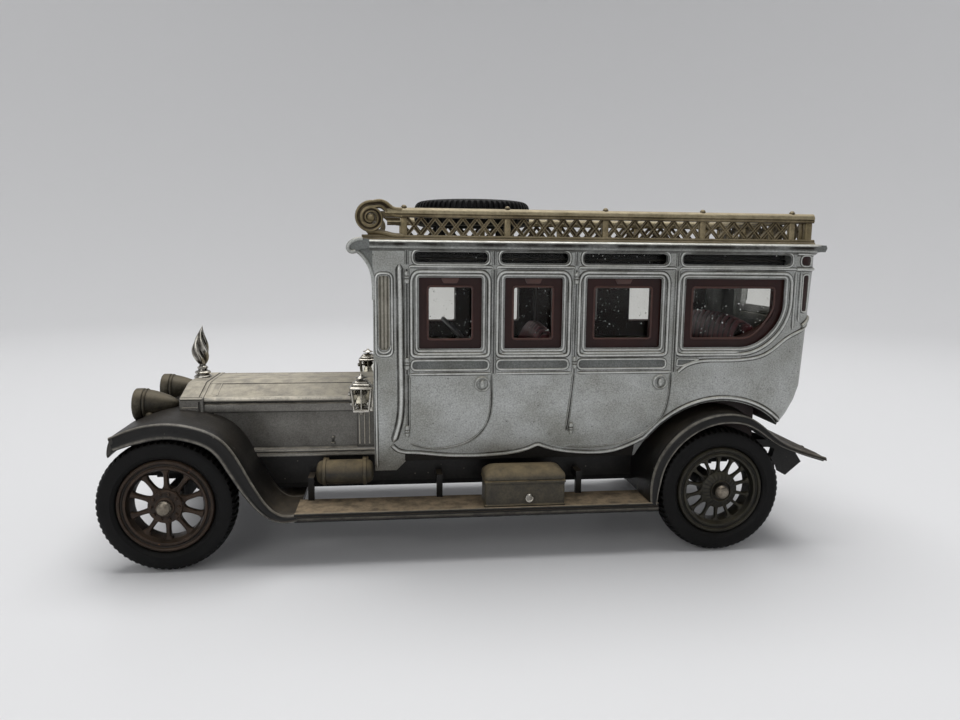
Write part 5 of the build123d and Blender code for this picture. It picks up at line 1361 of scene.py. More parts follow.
stations = np.concatenate([
    [bonnet_front, bonnet_front + 0.06, bonnet_front + 1.2, panel_front - 0.14],
    np.linspace(panel_front, panel_rear, 12),
    [panel_rear + 0.14, dash - 1.0, dash]])
sunk = np.where((stations >= panel_front) & (stations <= panel_rear), 0.22, 0.0)
inward = bonnet_outline[None, :, 0] + sunk[:, None] * bonnet_outline[None, :, 3]
half_skin = np.stack([
    np.broadcast_to(stations[:, None], inward.shape), -(bonnet_half_width - inward),
    np.broadcast_to(bonnet_outline[:, 1], inward.shape)], -1)
whole_skin = np.concatenate([half_skin, half_skin[:, ::-1] * np.array([1, -1, 1])], 1)
skin_shade = np.concatenate([bonnet_outline[:, 2], bonnet_outline[::-1, 2]])[None]
bonnet_shells = [shell(whole_skin, grime_and_shade=np.broadcast_to(skin_shade, whole_skin.shape[:2]))]


def side_bead(points, half_width, height, shape=bead_shape):
    """A bead on the bonnet's upright left side along a line of (x, z)."""
    points = evened(np.array(points, float), 0.4)
    path = np.stack([points[:, 0], np.full(len(points), -(bonnet_half_width - 0.30)), points[:, 1]], 1)
    return swept(path, shape[:, :2] * np.array([half_width, height]), [[0, -1.0, 0]], grime_and_shade=shape[None, :, 2])


trim = [side_bead([(panel_front + 0.05, 17.1), (panel_front + 0.05, 22.85)], 0.13, 0.2)]
for place in (dash - 2.65, dash - 1.8, dash - 1.0):
    trim.append(side_bead([(place, 17.3), (place, 23.4)], 0.2, 0.24))

# the raised border at the front of the top: a band that follows the slope from shoulder to crease
slope = np.array([(bonnet_half_width - 0.75, 25.68), (bonnet_half_width - 4.75, 26.96)])
slope_normal = np.array([0, -(slope[1, 1] - slope[0, 1]), slope[0, 0] - slope[1, 0]])
slope_normal /= np.linalg.norm(slope_normal)
for place, width, height in ((bonnet_front + 0.6, 0.5, 0.1), (bonnet_front + 1.9, 0.16, 0.12),
    (dash - 0.7, 0.4, 0.12)):
    band_path = np.linspace((place, -slope[0, 0], slope[0, 1]), (place, -slope[1, 0], slope[1, 1]), 12)
    trim.append(swept(band_path, bead_shape[:, :2] * np.array([width, height]), [slope_normal],
        grime_and_shade=bead_shape[None, :, 2]))
catch_stem = [(0.0, 0.55), (0.16, 0.5), (0.3, 0.34), (0.32, 0.1), (0.16, 0.0), (0.16, -0.5), (0.42, -0.62),
    (0.42, -0.8), (0.0, -0.8)]
trim.append(turned(catch_stem, (dash - 7.1, -(bonnet_half_width - 0.12), 18.2), (0, 0, 1), 14,
    [0, 0, 0.2, 0.8, 1, 1, 0.2, 1, 1]))
bonnet_shells += both(trim)
make("bonnet_casting", bonnet_shells, bonnet_enamel, replaces=["bonnet"], angle=30)

# %% [markdown]
# ## Radiator
# The shell is the bonnet's outline grown by 0.4 and rounded at its front edge. It frames a sunk gauze core
# made of upright slats. The side has two raised lines, painted light on their crests as wear and a painted
# highlight, and a small boss.

# %% Radiator shell and core
radiator_low, radiator_high = span("radiator_shell")
radiator_depth = radiator_high[0] - radiator_low[0]


def radiator_outline(grow):
    """The front outline as (y, z), grown outward by a distance; its corners are rounded."""
    half, low, high = 10.9 + grow, radiator_low[2] - grow, radiator_high[2] + grow
    corners = [(-half, low), (-half, 25.5 + grow * 0.5), (-5.0 - grow * 0.3, high), (5.0 + grow * 0.3, high),
               (half, 25.5 + grow * 0.5), (half, low)]
    return rounded_line(corners, 0.5, True, 5)


# (how far outside the outline, how far behind the front, dirt and painted shade), from the core's edge round
# to the back
shell_profile = [
    (-1.35, 0.72, 1.0), (-1.3, 0.7, 1.0), (-1.3, 0.2, 0.8), (-1.2, 0.05, 0.1), (-1.0, 0.0, 0.0),
    (-0.4, 0.0, 0.0),
    (-0.15, 0.06, 0.0), (0.0, 0.25, 0.0), (0.0, 0.6, 0.1), (0.0, radiator_depth - 0.85, 0.1),
    (-0.16, radiator_depth - 0.75, 1.0), (-0.16, radiator_depth - 0.6, 1.0), (0.0, radiator_depth - 0.5, 0.1),
    (0.0, radiator_depth - 0.1, 0.0), (-0.12, radiator_depth, 0.6)]
rings = [
    np.hstack([np.full((30, 1), radiator_low[0] + depth), radiator_outline(grow)]) for grow, depth,
    grime_and_shade in shell_profile]
shade = np.array([row[2] for row in shell_profile])[:, None]
shell_parts = [shell(np.array(rings), grime_and_shade=shade)]


def radiator_line(points, half_width, height, normal):
    """A raised line on the shell's side or shoulder, through points (x, y, z); its crest is painted light as
    wear and a painted highlight.
    """
    path = evened(np.array(points, float), 0.4)
    return swept(path, bead_shape[:, :2] * np.array([half_width, height]), [normal],
        grime_and_shade=bead_shape[None, :, 2])


flank = -10.9
lines = []
for height in (22.9, 24.0):
    ends = [(radiator_low[0] + 0.5, flank + 0.02, height), (bonnet_front - 0.9, flank + 0.02, height)]
    lines.append(radiator_line(ends, 0.14, 0.14, (0, -1.0, 0)))
edge = [(radiator_low[0] + 0.3, flank, 25.42), (bonnet_front - 0.2, flank, 25.42)]
lines.append(radiator_line(edge, 0.2, 0.16, (0, -0.8, 0.6)))
boss = [(0.0, 0.1), (0.2, 0.08), (0.34, 0.0), (0.36, -0.3), (0.0, -0.3)]
lines.append(turned(boss, (radiator_low[0] + 0.8, flank, 23.4), (0, -1, 0), 14, [0, 0, 0.2, 1, 1]))
shell_parts += both(lines)
make("radiator_casting", shell_parts, bonnet_enamel, replaces=["radiator_shell"], angle=30)

core_low, core_high = span("radiator_core")
slats = []
for y in np.linspace(-9.3, 9.3, 32):
    slope_top = core_high[2] - max(0.0, abs(y) - 5.0) * 0.36
    slats.append(swept(
        [(radiator_low[0] + 0.95, y, core_low[2] + 0.1), (radiator_low[0] + 0.95, y, 22.0),
         (radiator_low[0] + 0.95, y, slope_top - 0.1)],
        ellipse_section(0.16, 0.22, 8), [(-1.0, 0, 0)], grime_and_shade=0.2))
for z in np.linspace(core_low[2] + 0.6, 25.6, 23):
    reach = 9.4 if z < 24.4 else 9.4 - (z - 24.4) * 2.6
    slats.append(swept([(radiator_low[0] + 1.02, -reach, z), (radiator_low[0] + 1.02, 0, z),
        (radiator_low[0] + 1.02, reach, z)],
                       ellipse_section(0.1, 0.16, 6), [(-1.0, 0, 0)], grime_and_shade=0.5))
make("radiator_gauze", slats, core_black, slot=node_slot["radiator_core"])
frame["nodes"]["radiator_core"].data.materials.clear()
frame["nodes"]["radiator_core"].data.materials.append(core_black)

# %% [markdown]
# ## Filler cap and finial
# A stacked, turned cap carries a small plated finial: a fluted flame that twists and leans with the wind.
# Its radius at height t is a bulge, (0.42 + 1.1 sin(pi t^0.8) (1 - 0.55 t)) (1 - t^5), cut by five flutes.

# %% Finial
finial_low, finial_high = span("cap_finial")
finial_x = (finial_low[0] + finial_high[0]) / 2
cap_profile = [
    (0.0, 0.0), (1.5, 0.0), (1.5, 0.18), (1.38, 0.34), (1.12, 0.44), (1.1, 0.62), (1.32, 0.76), (1.34, 0.94),
    (1.18, 1.1), (0.84, 1.22), (0.76, 1.5), (0.92, 1.62), (0.9, 1.8), (0.62, 1.98), (0.5, 2.3), (0.0, 2.3)]
cap_shade = [1, 0.6, 0, 0.1, 0.9, 0.9, 0.1, 0, 0.1, 0.8, 0.9, 0.1, 0, 0.6, 0.9, 1]
t = np.linspace(0, 1, 44)[:, None]
turn = np.linspace(0, 2 * pi, 50, endpoint=False)[None, :]
height = (finial_high[2] - finial_low[2] - 2.15) * t
bulge = (0.42 + 1.1 * np.sin(pi * t**0.8) * (1 - 0.55 * t)) * (1 - t**5)
flute = 1 + 0.2 * np.sin(5 * turn + 4.2 * t * pi * 0.9) * np.sin(pi * np.clip(t * 1.1, 0, 1)) ** 0.5
lean = -0.35 * np.sin(pi * t) + 0.25 * t
flame = np.stack([
    finial_x + lean + bulge * flute * np.cos(turn), bulge * flute * np.sin(turn) * 0.85,
    np.broadcast_to(finial_low[2] + 2.15 + height, bulge.shape[:1] + turn.shape[1:])], -1)
flame_shade = np.clip(0.5 - 0.9 * np.sin(5 * turn + 4.2 * t * pi * 0.9), 0, 1) * (t < 0.95)
make("cap_and_flame_finial", [
    turned(cap_profile, (finial_x, 0, finial_low[2]), (0, 0, 1), 40, cap_shade),
    shell(flame, grime_and_shade=flame_shade)],
     bright_plating, replaces=["cap_finial"], angle=40)

# %% [markdown]
# ## Headlamps
# Each is a turned casting: a flat drum rim with a ring line behind it, then a bullet that runs to a blunt
# tail. A stem stands it on the chassis and a small ball knob sticks out low on its side.

# %% Headlamps
lamp_low = span("headlight_left")[0]
lamp_front, lamp_y, lamp_z = lamp_low[0], -7.4, 24.0
bullet = [
    (0.0, 1.15), (1.4, 1.05), (2.05, 0.9), (2.27, 0.85), (2.27, 0.1), (2.36, 0.0), (2.56, 0.0), (2.68, 0.12),
    (2.7, 0.3), (2.7, 1.3), (2.62, 1.42), (2.5, 1.48), (2.5, 1.58), (2.64, 1.66), (2.66, 1.85), (2.56, 1.98),
    (2.46, 2.06), (2.4, 2.5), (2.2, 3.3), (1.92, 4.2), (1.58, 5.1), (1.18, 5.9), (0.72, 6.55), (0.3, 6.88),
    (0.0, 6.95)]
bullet_shade = [0.9, 0.6, 0.4, 0.9, 0.5, 0, 0, 0, 0, 0.1, 0.4, 1, 1, 0.3, 0, 0.3, 0.9, 0.2, 0, 0, 0, 0, 0, 0,
    0]
stem = [
    (0.0, 0.0), (1.0, 0.0), (1.0, 0.25), (0.62, 0.5), (0.48, 1.2), (0.45, 4.8), (0.62, 5.2), (0.62, 5.5),
    (0.45, 5.8),
    (0.45, 6.9), (0.0, 6.9)]
knob = [(0.0, 0.95), (0.3, 0.9), (0.58, 0.66), (0.68, 0.3), (0.6, -0.05), (0.42, -0.25), (0.4, -1.1),
    (0.0, -1.1)]
lamp_parts = [
    turned(bullet, (lamp_front, lamp_y, lamp_z), (1, 0, 0), 56, bullet_shade),
    turned(stem, (lamp_front + 4.0, lamp_y - 0.8, lamp_low[2]), (0, 0, 1), 20,
    [1, 0.8, 0, 0.6, 0.2, 0.2, 0.6, 0, 0.6, 1, 1]),
    turned(knob, (lamp_front + 2.6, lamp_y - 1.72, lamp_z - 1.45), (0, -0.94, -0.34), 22,
    [0, 0, 0, 0, 0.5, 1, 1, 1]),
]
for hand, mirror in (("left", False), ("right", True)):
    make(f"headlight_{hand}_bullet", shifted(lamp_parts, mirror=mirror), bronze_wash,
         replaces=[f"headlight_{hand}"], angle=36)

# %% [markdown]
# ## Side lanterns
# Plated coach lanterns stand on either side of the dash: a foot with a ball, a flared cage of posts round
# faceted panes, stacked roof tiers and an umbrella knob. Square tiers are turned shapes with four sides.

# %% Lanterns
lantern_low, lantern_high = span("side_lamp_left")
lantern_x = (lantern_low[0] + 0.5 + lantern_high[0] - 0.2) / 2 - 0.1
lantern_y = (lantern_low[1] + lantern_high[1]) / 2


def square_tiers(rows, centre, corner=0.25):
    """Stacked rounded squares: each row is (half size in x, half size in y, z, dirt and painted shade)."""
    layers, shades = [], []
    for half_x, half_y, z, shade in rows:
        radius = min(corner, half_x * 0.6, half_y * 0.6)
        plan = rounded_line([(-half_x, -half_y), (half_x, -half_y), (half_x, half_y), (-half_x, half_y)],
            radius, True, 4)
        layers.append(np.hstack([plan + np.array(centre), np.full((len(plan), 1), z)]))
        shades.append(shade)
    return shell(np.array(layers), grime_and_shade=np.array(shades)[:, None])


middle = (lantern_x, lantern_y)
lantern = [square_tiers([
    (0.9, 0.85, 24.0, 0.8), (1.35, 1.25, 24.12, 0.1), (1.4, 1.3, 24.35, 0.0), (1.3, 1.2, 24.5, 0.9),
    (1.1, 1.0, 24.6, 1.0)],
    middle)]
lantern.append(square_tiers([
    (1.45, 1.3, 27.75, 1.0), (1.78, 1.6, 27.85, 0.1), (1.84, 1.66, 28.05, 0.0), (1.7, 1.5, 28.2, 0.2),
    (1.45, 1.3, 28.3, 0.9), (1.5, 1.35, 28.45, 0.1), (1.42, 1.25, 28.62, 0.0), (1.1, 0.98, 28.75, 0.8),
    (1.12, 1.0, 28.92, 0.1), (0.9, 0.8, 29.1, 0.1), (0.5, 0.45, 29.16, 0.9)], middle))
lantern.append(turned([
    (0.0, 0.0), (0.32, 0.0), (0.28, 0.2), (0.7, 0.3), (1.05, 0.42), (0.85, 0.56), (0.45, 0.7), (0.26, 0.84),
    (0.3, 0.94),
    (0.16, 1.04), (0.0, 1.06)], (*middle, lantern_high[2] - 1.08), (0, 0, 1), 24,
    [1, 1, 0.9, 0.2, 0, 0, 0.1, 0.6, 0, 0, 0]))
lantern.append(turned([
    (0.0, 0.0), (0.3, 0.02), (0.42, 0.16), (0.4, 0.32), (0.24, 0.42), (0.7, 0.5), (0.74, 0.62), (0.5, 0.7),
    (0.0, 0.7)],
    (*middle, lantern_low[2]), (0, 0, 1), 20, [0, 0, 0, 0.2, 1, 0.1, 0, 0.5, 1]))
corner_low, corner_high = np.array([1.18, 1.06]), np.array([1.58, 1.42])
for side_x in (-1, 1):
    for side_y in (-1, 1):
        start = np.array([*(np.array(middle) + corner_low * (side_x, side_y)), 24.45])
        end = np.array([*(np.array(middle) + corner_high * (side_x, side_y)), 27.85])
        lantern.append(swept(np.linspace(start, end, 4), ellipse_section(0.2, 0.2, 10),
            [(side_x, side_y * 0.9, 0)], grime_and_shade=0.2))
for face_x, face_y in ((-1, 0), (0, -1), (0, 1)):
    low_point = np.array([middle[0] + face_x * 1.2, middle[1] + face_y * 1.08, 24.5])
    high_point = np.array([middle[0] + face_x * 1.6, middle[1] + face_y * 1.45, 27.8])
    lantern.append(swept(np.linspace(low_point, high_point, 3), ellipse_section(0.11, 0.11, 8),
        [(face_x, face_y, 0.1)], grime_and_shade=0.1))
facets = [(0.42, 0.36, 24.55, 0.9), (0.5, 0.45, 25.0, 0.5), (0.95, 0.85, 25.5, 0.0), (0.62, 0.55, 26.6, 0.4),
          (1.05, 0.95, 27.3, 0.0), (0.6, 0.5, 27.85, 0.9)]
lantern.append(square_tiers(facets, middle, 0.1))
lantern.append(turned([(0.0, 0.42), (0.3, 0.34), (0.4, 0.1), (0.3, -0.15), (0.16, -0.3), (0.16, -0.9),
    (0.0, -0.9)],
                      (lantern_low[0] + 0.42, lantern_y, 26.9), (-1, 0, 0), 16, [0, 0, 0, 0.4, 1, 1, 1]))
arm_low = (lantern_high[0] - 1.2, lantern_y - 0.5, 24.0)
lantern.append(rounded_block(arm_low, (lantern_high[0], lantern_y + 0.5, 24.9), 0.2))
lantern.append(rounded_block((lantern_high[0] - 0.6, lantern_y - 0.45, 24.2),
    (lantern_high[0], lantern_y + 0.45, 27.6), 0.2))
for hand, mirror in (("left", False), ("right", True)):
    make(f"side_lantern_{hand}", shifted(lantern, mirror=mirror), bright_plating,
        replaces=[f"side_lamp_{hand}"], angle=34)

# %% [markdown]
# ## Tank, tool box and clasp
# A ribbed cylinder hangs beside the dash; a box with a domed lid stands on the running board with a
# crescent clasp on its face. All are buried in dust, so the enamel is dull and the edges are soft.

# %% Tank
tank_low, tank_high = span("fuel_tank")
tank_y, tank_z = -13.0, 13.25
tank_length = tank_high[0] - tank_low[0]
tank_rows = [
    (0.0, 0.0, 0.2), (0.9, 0.05, 0.1), (1.5, 0.25, 0.1), (1.85, 0.6, 0.1), (2.0, 1.05, 0.8),
    (2.16, 1.15, 0.1),
    (2.2, 1.35, 0.0), (2.16, 1.6, 0.1), (2.02, 1.7, 0.9), (2.04, 4.5, 0.2), (2.02, 7.6, 0.9),
    (2.16, 7.7, 0.1),
    (2.2, 7.95, 0.0), (2.16, 8.2, 0.1), (2.0, 8.3, 0.8), (1.85, tank_length - 0.6, 0.1),
    (1.5, tank_length - 0.25, 0.1), (0.9, tank_length - 0.05, 0.1), (0.0, tank_length, 0.2)]
tank_parts = [turned([row[:2] for row in tank_rows], (tank_low[0], tank_y, tank_z), (1, 0, 0), 44,
    [row[2] for row in tank_rows])]
for along in (1.4, 7.95):
    strap = [(tank_low[0] + along, tank_y + 1.2, tank_z + 1.2),
        (tank_low[0] + along, tank_high[1] - 0.4, tank_z + 1.5),
             (tank_low[0] + along, tank_high[1], tank_z + 1.5)]
    tank_parts.append(swept(strap,
        rounded_line([(-0.5, -0.18), (0.5, -0.18), (0.5, 0.18), (-0.5, 0.18)], 0.1, True, 3),
                            [(0, 0, 1.0)], grime_and_shade=0.5))
make("fuel_tank_casting", tank_parts, luggage_enamel, replaces=["fuel_tank"], angle=40)

# %% Tool box, lid and clasp
box_low, box_high = span("tool_box")
lid_low = span("tool_box_lid")[0]
box_middle = ((box_low[0] + box_high[0]) / 2, (box_low[1] + box_high[1]) / 2)
half_x, half_y = (box_high[0] - box_low[0]) / 2, (box_high[1] - box_low[1]) / 2
box_rows = [
    (-0.05, 0.0, 1.0), (0.0, 0.12, 0.5), (0.0, 0.35, 0.0), (-0.12, 0.5, 0.9), (-0.14, 0.7, 0.4),
    (-0.14, 3.6, 0.1),
    (-0.12, 3.9, 0.8), (0.0, 4.02, 0.1), (0.0, 4.32, 0.0), (-0.16, 4.42, 1.0), (-0.2, 4.5, 1.0)]
box_shell = square_tiers([(half_x + g, half_y + g, box_low[2] + z, s) for g, z, s in box_rows], box_middle,
    0.35)
make("tool_box_casting", [box_shell], luggage_enamel, replaces=["tool_box"], angle=36)
lid_rows = [
    (-0.2, 0.0, 1.0), (-0.16, 0.06, 1.0), (0.0, 0.16, 0.0), (0.0, 0.5, 0.0), (-0.08, 0.72, 0.1),
    (-0.2, 0.95, 0.1),
    (-0.5, 1.28, 0.1), (-0.95, 1.62, 0.1), (-1.5, 1.85, 0.1), (-2.1, 1.97, 0.1), (-2.5, 2.0, 0.1)]
lid_shell = square_tiers([(half_x + g, half_y + g, lid_low[2] + z, s) for g, z, s in lid_rows], box_middle,
    0.8)
make("tool_box_domed_lid", [lid_shell], luggage_enamel, replaces=["tool_box_lid"], angle=36)
clasp_low, clasp_high = span("tool_box_clasp")
clasp_centre = np.array([(clasp_low[0] + clasp_high[0]) / 2, clasp_high[1],
    (clasp_low[2] + clasp_high[2]) / 2])
plate = turned([(0.0, 0.3), (0.5, 0.28), (0.62, 0.14), (0.62, -0.1), (0.0, -0.1)], clasp_centre, (0, -1, 0),
    24, [0.6, 0.6, 0.2, 1, 1])
bend = np.radians(np.linspace(-200, 20, 22))
crescent = clasp_centre + 0.56 * np.stack([np.cos(bend), np.zeros(22), np.sin(bend)],
    1) + np.array([0, -0.24, 0])
taper = (0.08 + 0.14 * np.sin(np.linspace(0, pi, 22)))[:, None, None]
crescent_bead = swept(crescent, ellipse_section(1.0, 1.0, 10)[None] * taper, [(0, -1.0, 0)], grime_and_shade=0.0)
make("tool_box_crescent_clasp", [plate, crescent_bead], bright_plating, replaces=["tool_box_clasp"], angle=40)

# %% [markdown]
# ## Door furniture
# Each handle is a ring bead round an oval knob, and each hinge knuckle a short turned barrel; all are cast
# with the body and take its enamel.

# %% Handles and hinges
ring = []
for place in (bay_edges[1] - 1.75, bay_edges[3] - 2.2):
    z = 28.6
    skin = -(body_half_width - float(inset(z)))
    around = np.linspace(0, 2 * pi, 28, endpoint=False)
    loop = np.stack([place + 1.08 * np.cos(around), np.full(28, skin), z + 1.08 * np.sin(around)], 1)
    ring.append(swept(loop, ellipse_section(0.25, 0.38), [(0, -1.0, 0)], closed=True, grime_and_shade=0.1))
    oval = [(0.0, 0.62), (0.28, 0.6), (0.5, 0.44), (0.56, 0.2), (0.42, 0.0), (0.0, 0.0)]
    knob_shell = turned(oval, (place, skin, z), (0, -1, 0), 20, [0, 0, 0, 0.3, 1, 1])
    points = (knob_shell[0] - np.array([place, skin, z])) * np.array([0.8, 1, 1.25]) + np.array([place, skin,
        z])
    ring.append((points, knob_shell[1], knob_shell[2]))
make("door_ring_handles", both(ring), silver_highlit_bead_enamel, replaces=["door_handles"], angle=40)
knuckles = []
barrel = [
    (0.0, -0.95), (0.26, -0.92), (0.38, -0.78), (0.42, -0.5), (0.42, -0.3), (0.33, -0.24), (0.33, -0.18),
    (0.42, -0.12),
    (0.42, 0.12), (0.33, 0.18), (0.33, 0.24), (0.42, 0.3), (0.42, 0.5), (0.38, 0.78), (0.26, 0.92),
    (0.0, 0.95)]
barrel_shade = [0, 0, 0, 0, 0.2, 1, 1, 0.1, 0.1, 1, 1, 0.2, 0, 0, 0, 0]
for place in (bay_edges[0], bay_edges[2]):
    for z in (20.85, 32.0, 45.6):
        skin = -(body_half_width - float(inset(z)))
        knuckles.append(turned(barrel, (place, skin - 0.28, z), (0, 0, 1), 16, barrel_shade))
make("door_hinge_knuckles", both(knuckles), silver_highlit_bead_enamel, replaces=["door_hinges"], angle=40)

# %% [markdown]
# ## Window frames
# The maroon moulding plugs the windows from inside. Its CAD shape stays; a thin raised edge runs round each
# aperture, and a small tab is moulded on the border above the first three, both painted a little lighter than
# the rest as a highlight.

# %% Raised edges and tabs
frame_face, border = -17.05, 1.6
edges = []
for index, (front, rear) in enumerate(windows):
    low, high = window_sill + border, window_head - border
    left_edge, right_edge = front + border, rear - border
    corners = [(left_edge, low), (right_edge, low), (right_edge, high), (left_edge, high)]
    if index == 3:
        drop = high - low
        sweep_corner = smooth_line([
            (right_edge - 6.4, low), (right_edge - 4.2, low + 0.15), (right_edge - 1.7, low + drop * 0.27),
            (right_edge, low + drop * 0.66), (right_edge, low + drop * 0.8)], 20).tolist()
        corners = [(left_edge, low)] + sweep_corner + [(right_edge, high), (left_edge, high)]
    line = evened(rounded_line(corners, 0.5, True, 5), 0.3, True)
    path = np.stack([line[:, 0], np.full(len(line), frame_face + 0.02), line[:, 1]], 1)
    edges.append(swept(path, ellipse_section(0.17, 0.16, 10), [(0, -1.0, 0)], closed=True, grime_and_shade=0.0))
    if index < 3:
        centre = (left_edge + right_edge) / 2
        tab = [(-1.45, 0.0), (1.45, 0.0), (1.05, -0.8), (-1.05, -0.8)]
        outline = rounded_line(tab, 0.15, True, 4)
        faces = [
            np.stack([centre + outline[:, 0] * s, np.full(len(outline), frame_face - d),
            high + 1.3 + outline[:, 1] * s], 1)
            for s, d in ((1.0, -0.25), (1.0, 0.12), (0.85, 0.2))]
        edges.append(shell(np.array(faces), grime_and_shade=0.1))
make("window_frame_edges", both(edges), maroon_highlit_crest, slot=node_slot["window_frames"])

# %% [markdown]
# ## Seats and steering wheel
# Both benches are pleated: the height of the pleats is |sin|^0.6 of the distance across, so they have broad
# crowns and sharp valleys. The front seat's back is domed. The wheel has a thin rim and four spokes.


# %% Seats
def pleated_seat(node, back_depth, cushion_top, rise):
    """A bench seen from the side as one outline of (x, z), carried across the car with pleats on its face."""
    low, high = span(node)
    across = np.linspace(low[1], high[1], 145)
    pitch = (high[1] - low[1]) / 12
    crown = np.abs(np.sin(pi * (across - low[1]) / pitch)) ** 0.6
    crown[0] = crown[-1] = 0.0
    front, rear = low[0], high[0]
    back_front = rear - back_depth
    lean = 1.4
    outline = [
        (front, low[2], 0), (front, cushion_top - 1.6, 0.15), (front + 0.25, cushion_top - 0.6, 0.35),
        (front + 1.0, cushion_top - 0.1, 0.45), (front + 3.0, cushion_top + 0.0, 0.45),
        (back_front - lean - 2.0, cushion_top - 0.5, 0.45), (back_front - lean - 0.3, cushion_top - 0.9, 0.2),
        (back_front - lean, cushion_top - 0.3, 0.2), (back_front - lean * 0.75, cushion_top + 2.0, 0.45),
        (back_front - lean * 0.3, high[2] - 3.0, 0.45), (back_front + 0.1, high[2] - 1.2, 0.45),
        (back_front + 0.7, high[2] - 0.45, 0.35), (back_front + 1.5, high[2] - 0.45, 0.2),
        (rear - 0.15, high[2] - 1.2, 0.1), (rear, high[2] - 2.2, 0), (rear, low[2], 0)]
    outline = np.array(outline)
    middle = np.array([back_front - 3.0, cushion_top - 3.0])
    away = outline[:, :2] - middle
    away /= np.linalg.norm(away, axis=1, keepdims=True)
    lift = (crown[:, None] - 1) * outline[None, :, 2]
    shape = outline[None, :, :2] + lift[..., None] * away[None] 
    dome = 1 - (np.abs(across) / high[1]) ** 2.6
    share = np.clip((outline[:, 1] - cushion_top) / (high[2] - cushion_top), 0, 1)
    shape[..., 1] -= (1 - dome[:, None]) * share[None] * rise
    points = np.stack([shape[..., 0], np.broadcast_to(across[:, None], shape.shape[:2]), shape[..., 1]], -1)
    shade = np.clip(1.2 - crown[:, None] * 1.6, 0, 1) * (outline[None, :, 2] > 0.1)
    return shell(points, grime_and_shade=shade)


make("front_pleated_seat", [pleated_seat("front_seat", 2.6, 28.0, 3.4)], seat_moulding,
    replaces=["front_seat"], angle=45)
make("rear_pleated_seat", [pleated_seat("rear_seat", 3.0, 29.0, 1.0)], seat_moulding, replaces=["rear_seat"],
    angle=45)

# %% Steering wheel and column
wheel_low, wheel_high = span("steering_wheel")
hub = (wheel_low + wheel_high) / 2
wheel_axis = np.array([1.0, 0, 1.0]) / np.sqrt(2)
wheel_radius = (wheel_high[1] - wheel_low[1]) / 2 - 0.42
flat = np.array([1.0, 0, -1.0]) / np.sqrt(2)
around = np.linspace(0, 2 * pi, 56, endpoint=False)[:, None]
rim_path = hub + wheel_radius * (np.cos(around) * flat + np.sin(around) * np.array([0, 1.0, 0]))
finger = 0.4 + 0.03 * np.cos(around * 16)
rim = swept(rim_path, ellipse_section(1.0, 1.0, 14)[None] * finger[:, None], [wheel_axis], closed=True,
    grime_and_shade=0.1)
wheel_parts = [rim]
for turn in np.radians([45, 135, 225, 315]):
    tip_point = hub + (wheel_radius - 0.1) * (cos(turn) * flat + sin(turn) * np.array([0, 1.0, 0]))
    spoke_path = np.linspace(hub + wheel_axis * 0.1, tip_point, 8)
    width = np.linspace(0.42, 0.26, 8)[:, None, None]
    wheel_parts.append(swept(spoke_path, ellipse_section(1.0, 0.75, 10)[None] * width, [wheel_axis],
        grime_and_shade=0.3))
boss_rows = [(0.0, 0.42), (0.35, 0.38), (0.62, 0.2), (0.72, 0.0), (0.7, -0.4), (0.0, -0.4)]
wheel_parts.append(turned(boss_rows, hub, wheel_axis, 22, [0, 0, 0.1, 0.3, 1, 1]))
make("steering_wheel_spoked", wheel_parts, grey_moulding, replaces=["steering_wheel"], angle=40)
column_low = span("steering_column")[0]
column_foot = np.array([column_low[0] + 0.35, 6.0, column_low[2] + 0.35])
column_length = float(np.linalg.norm(hub - column_foot)) - 0.45
column_rows = [
    (0.0, 0.0), (0.5, 0.0), (0.5, 2.0), (0.44, 2.15), (0.44, 4.0), (0.5, 4.15), (0.5, 5.0), (0.42, 5.15),
    (0.36, column_length - 1.6), (0.48, column_length - 1.4), (0.48, column_length), (0.0, column_length)]
column_axis = (hub - column_foot) / np.linalg.norm(hub - column_foot)
make("steering_column_stepped", [turned(column_rows, column_foot, column_axis, 20, [0.3] * 12)],
    shade_darkened_black,
     replaces=["steering_column"], angle=40)

# %% Dark backing behind the toplights as painted shade, with a painted light streak along it
shade_backing_ends = np.linspace(bay_edges[0] - 0.5, rear_axle + 11.5, 40)
shade_backing_outline = rounded_line([(-15.0, 47.3), (-14.6, 47.3), (-14.6, 49.95), (-15.0, 49.95)], 0.1, True, 3)
shade_backing_path = np.stack([shade_backing_ends, np.zeros(40), np.zeros(40)], 1)
shade_backing = swept(shade_backing_path, shade_backing_outline, [(0, 0, 1.0)], grime_and_shade=0.6)
# a lighter line along the backing: a painted highlight streak
painted_light_streak = swept(shade_backing_path + np.array([0, -15.1, 48.55]), ellipse_section(0.14, 0.2, 8), [(0, -1.0, 0)],
    grime_and_shade=-0.4)
make("toplight_painted_shade_backing", both([shade_backing, painted_light_streak]), black_enamel, slot="black_enamel")

# %% [markdown]
# ## Studio: floor, light and camera
# A pale seamless bowl stands for a photographer's paper sweep: flat under the car, curving up far away on
# every side, so that any view has the same plain ground. One large soft source overhead makes the shadow
# under the car, a weaker one in front lifts the near side, and the world's open sky fills the rest.

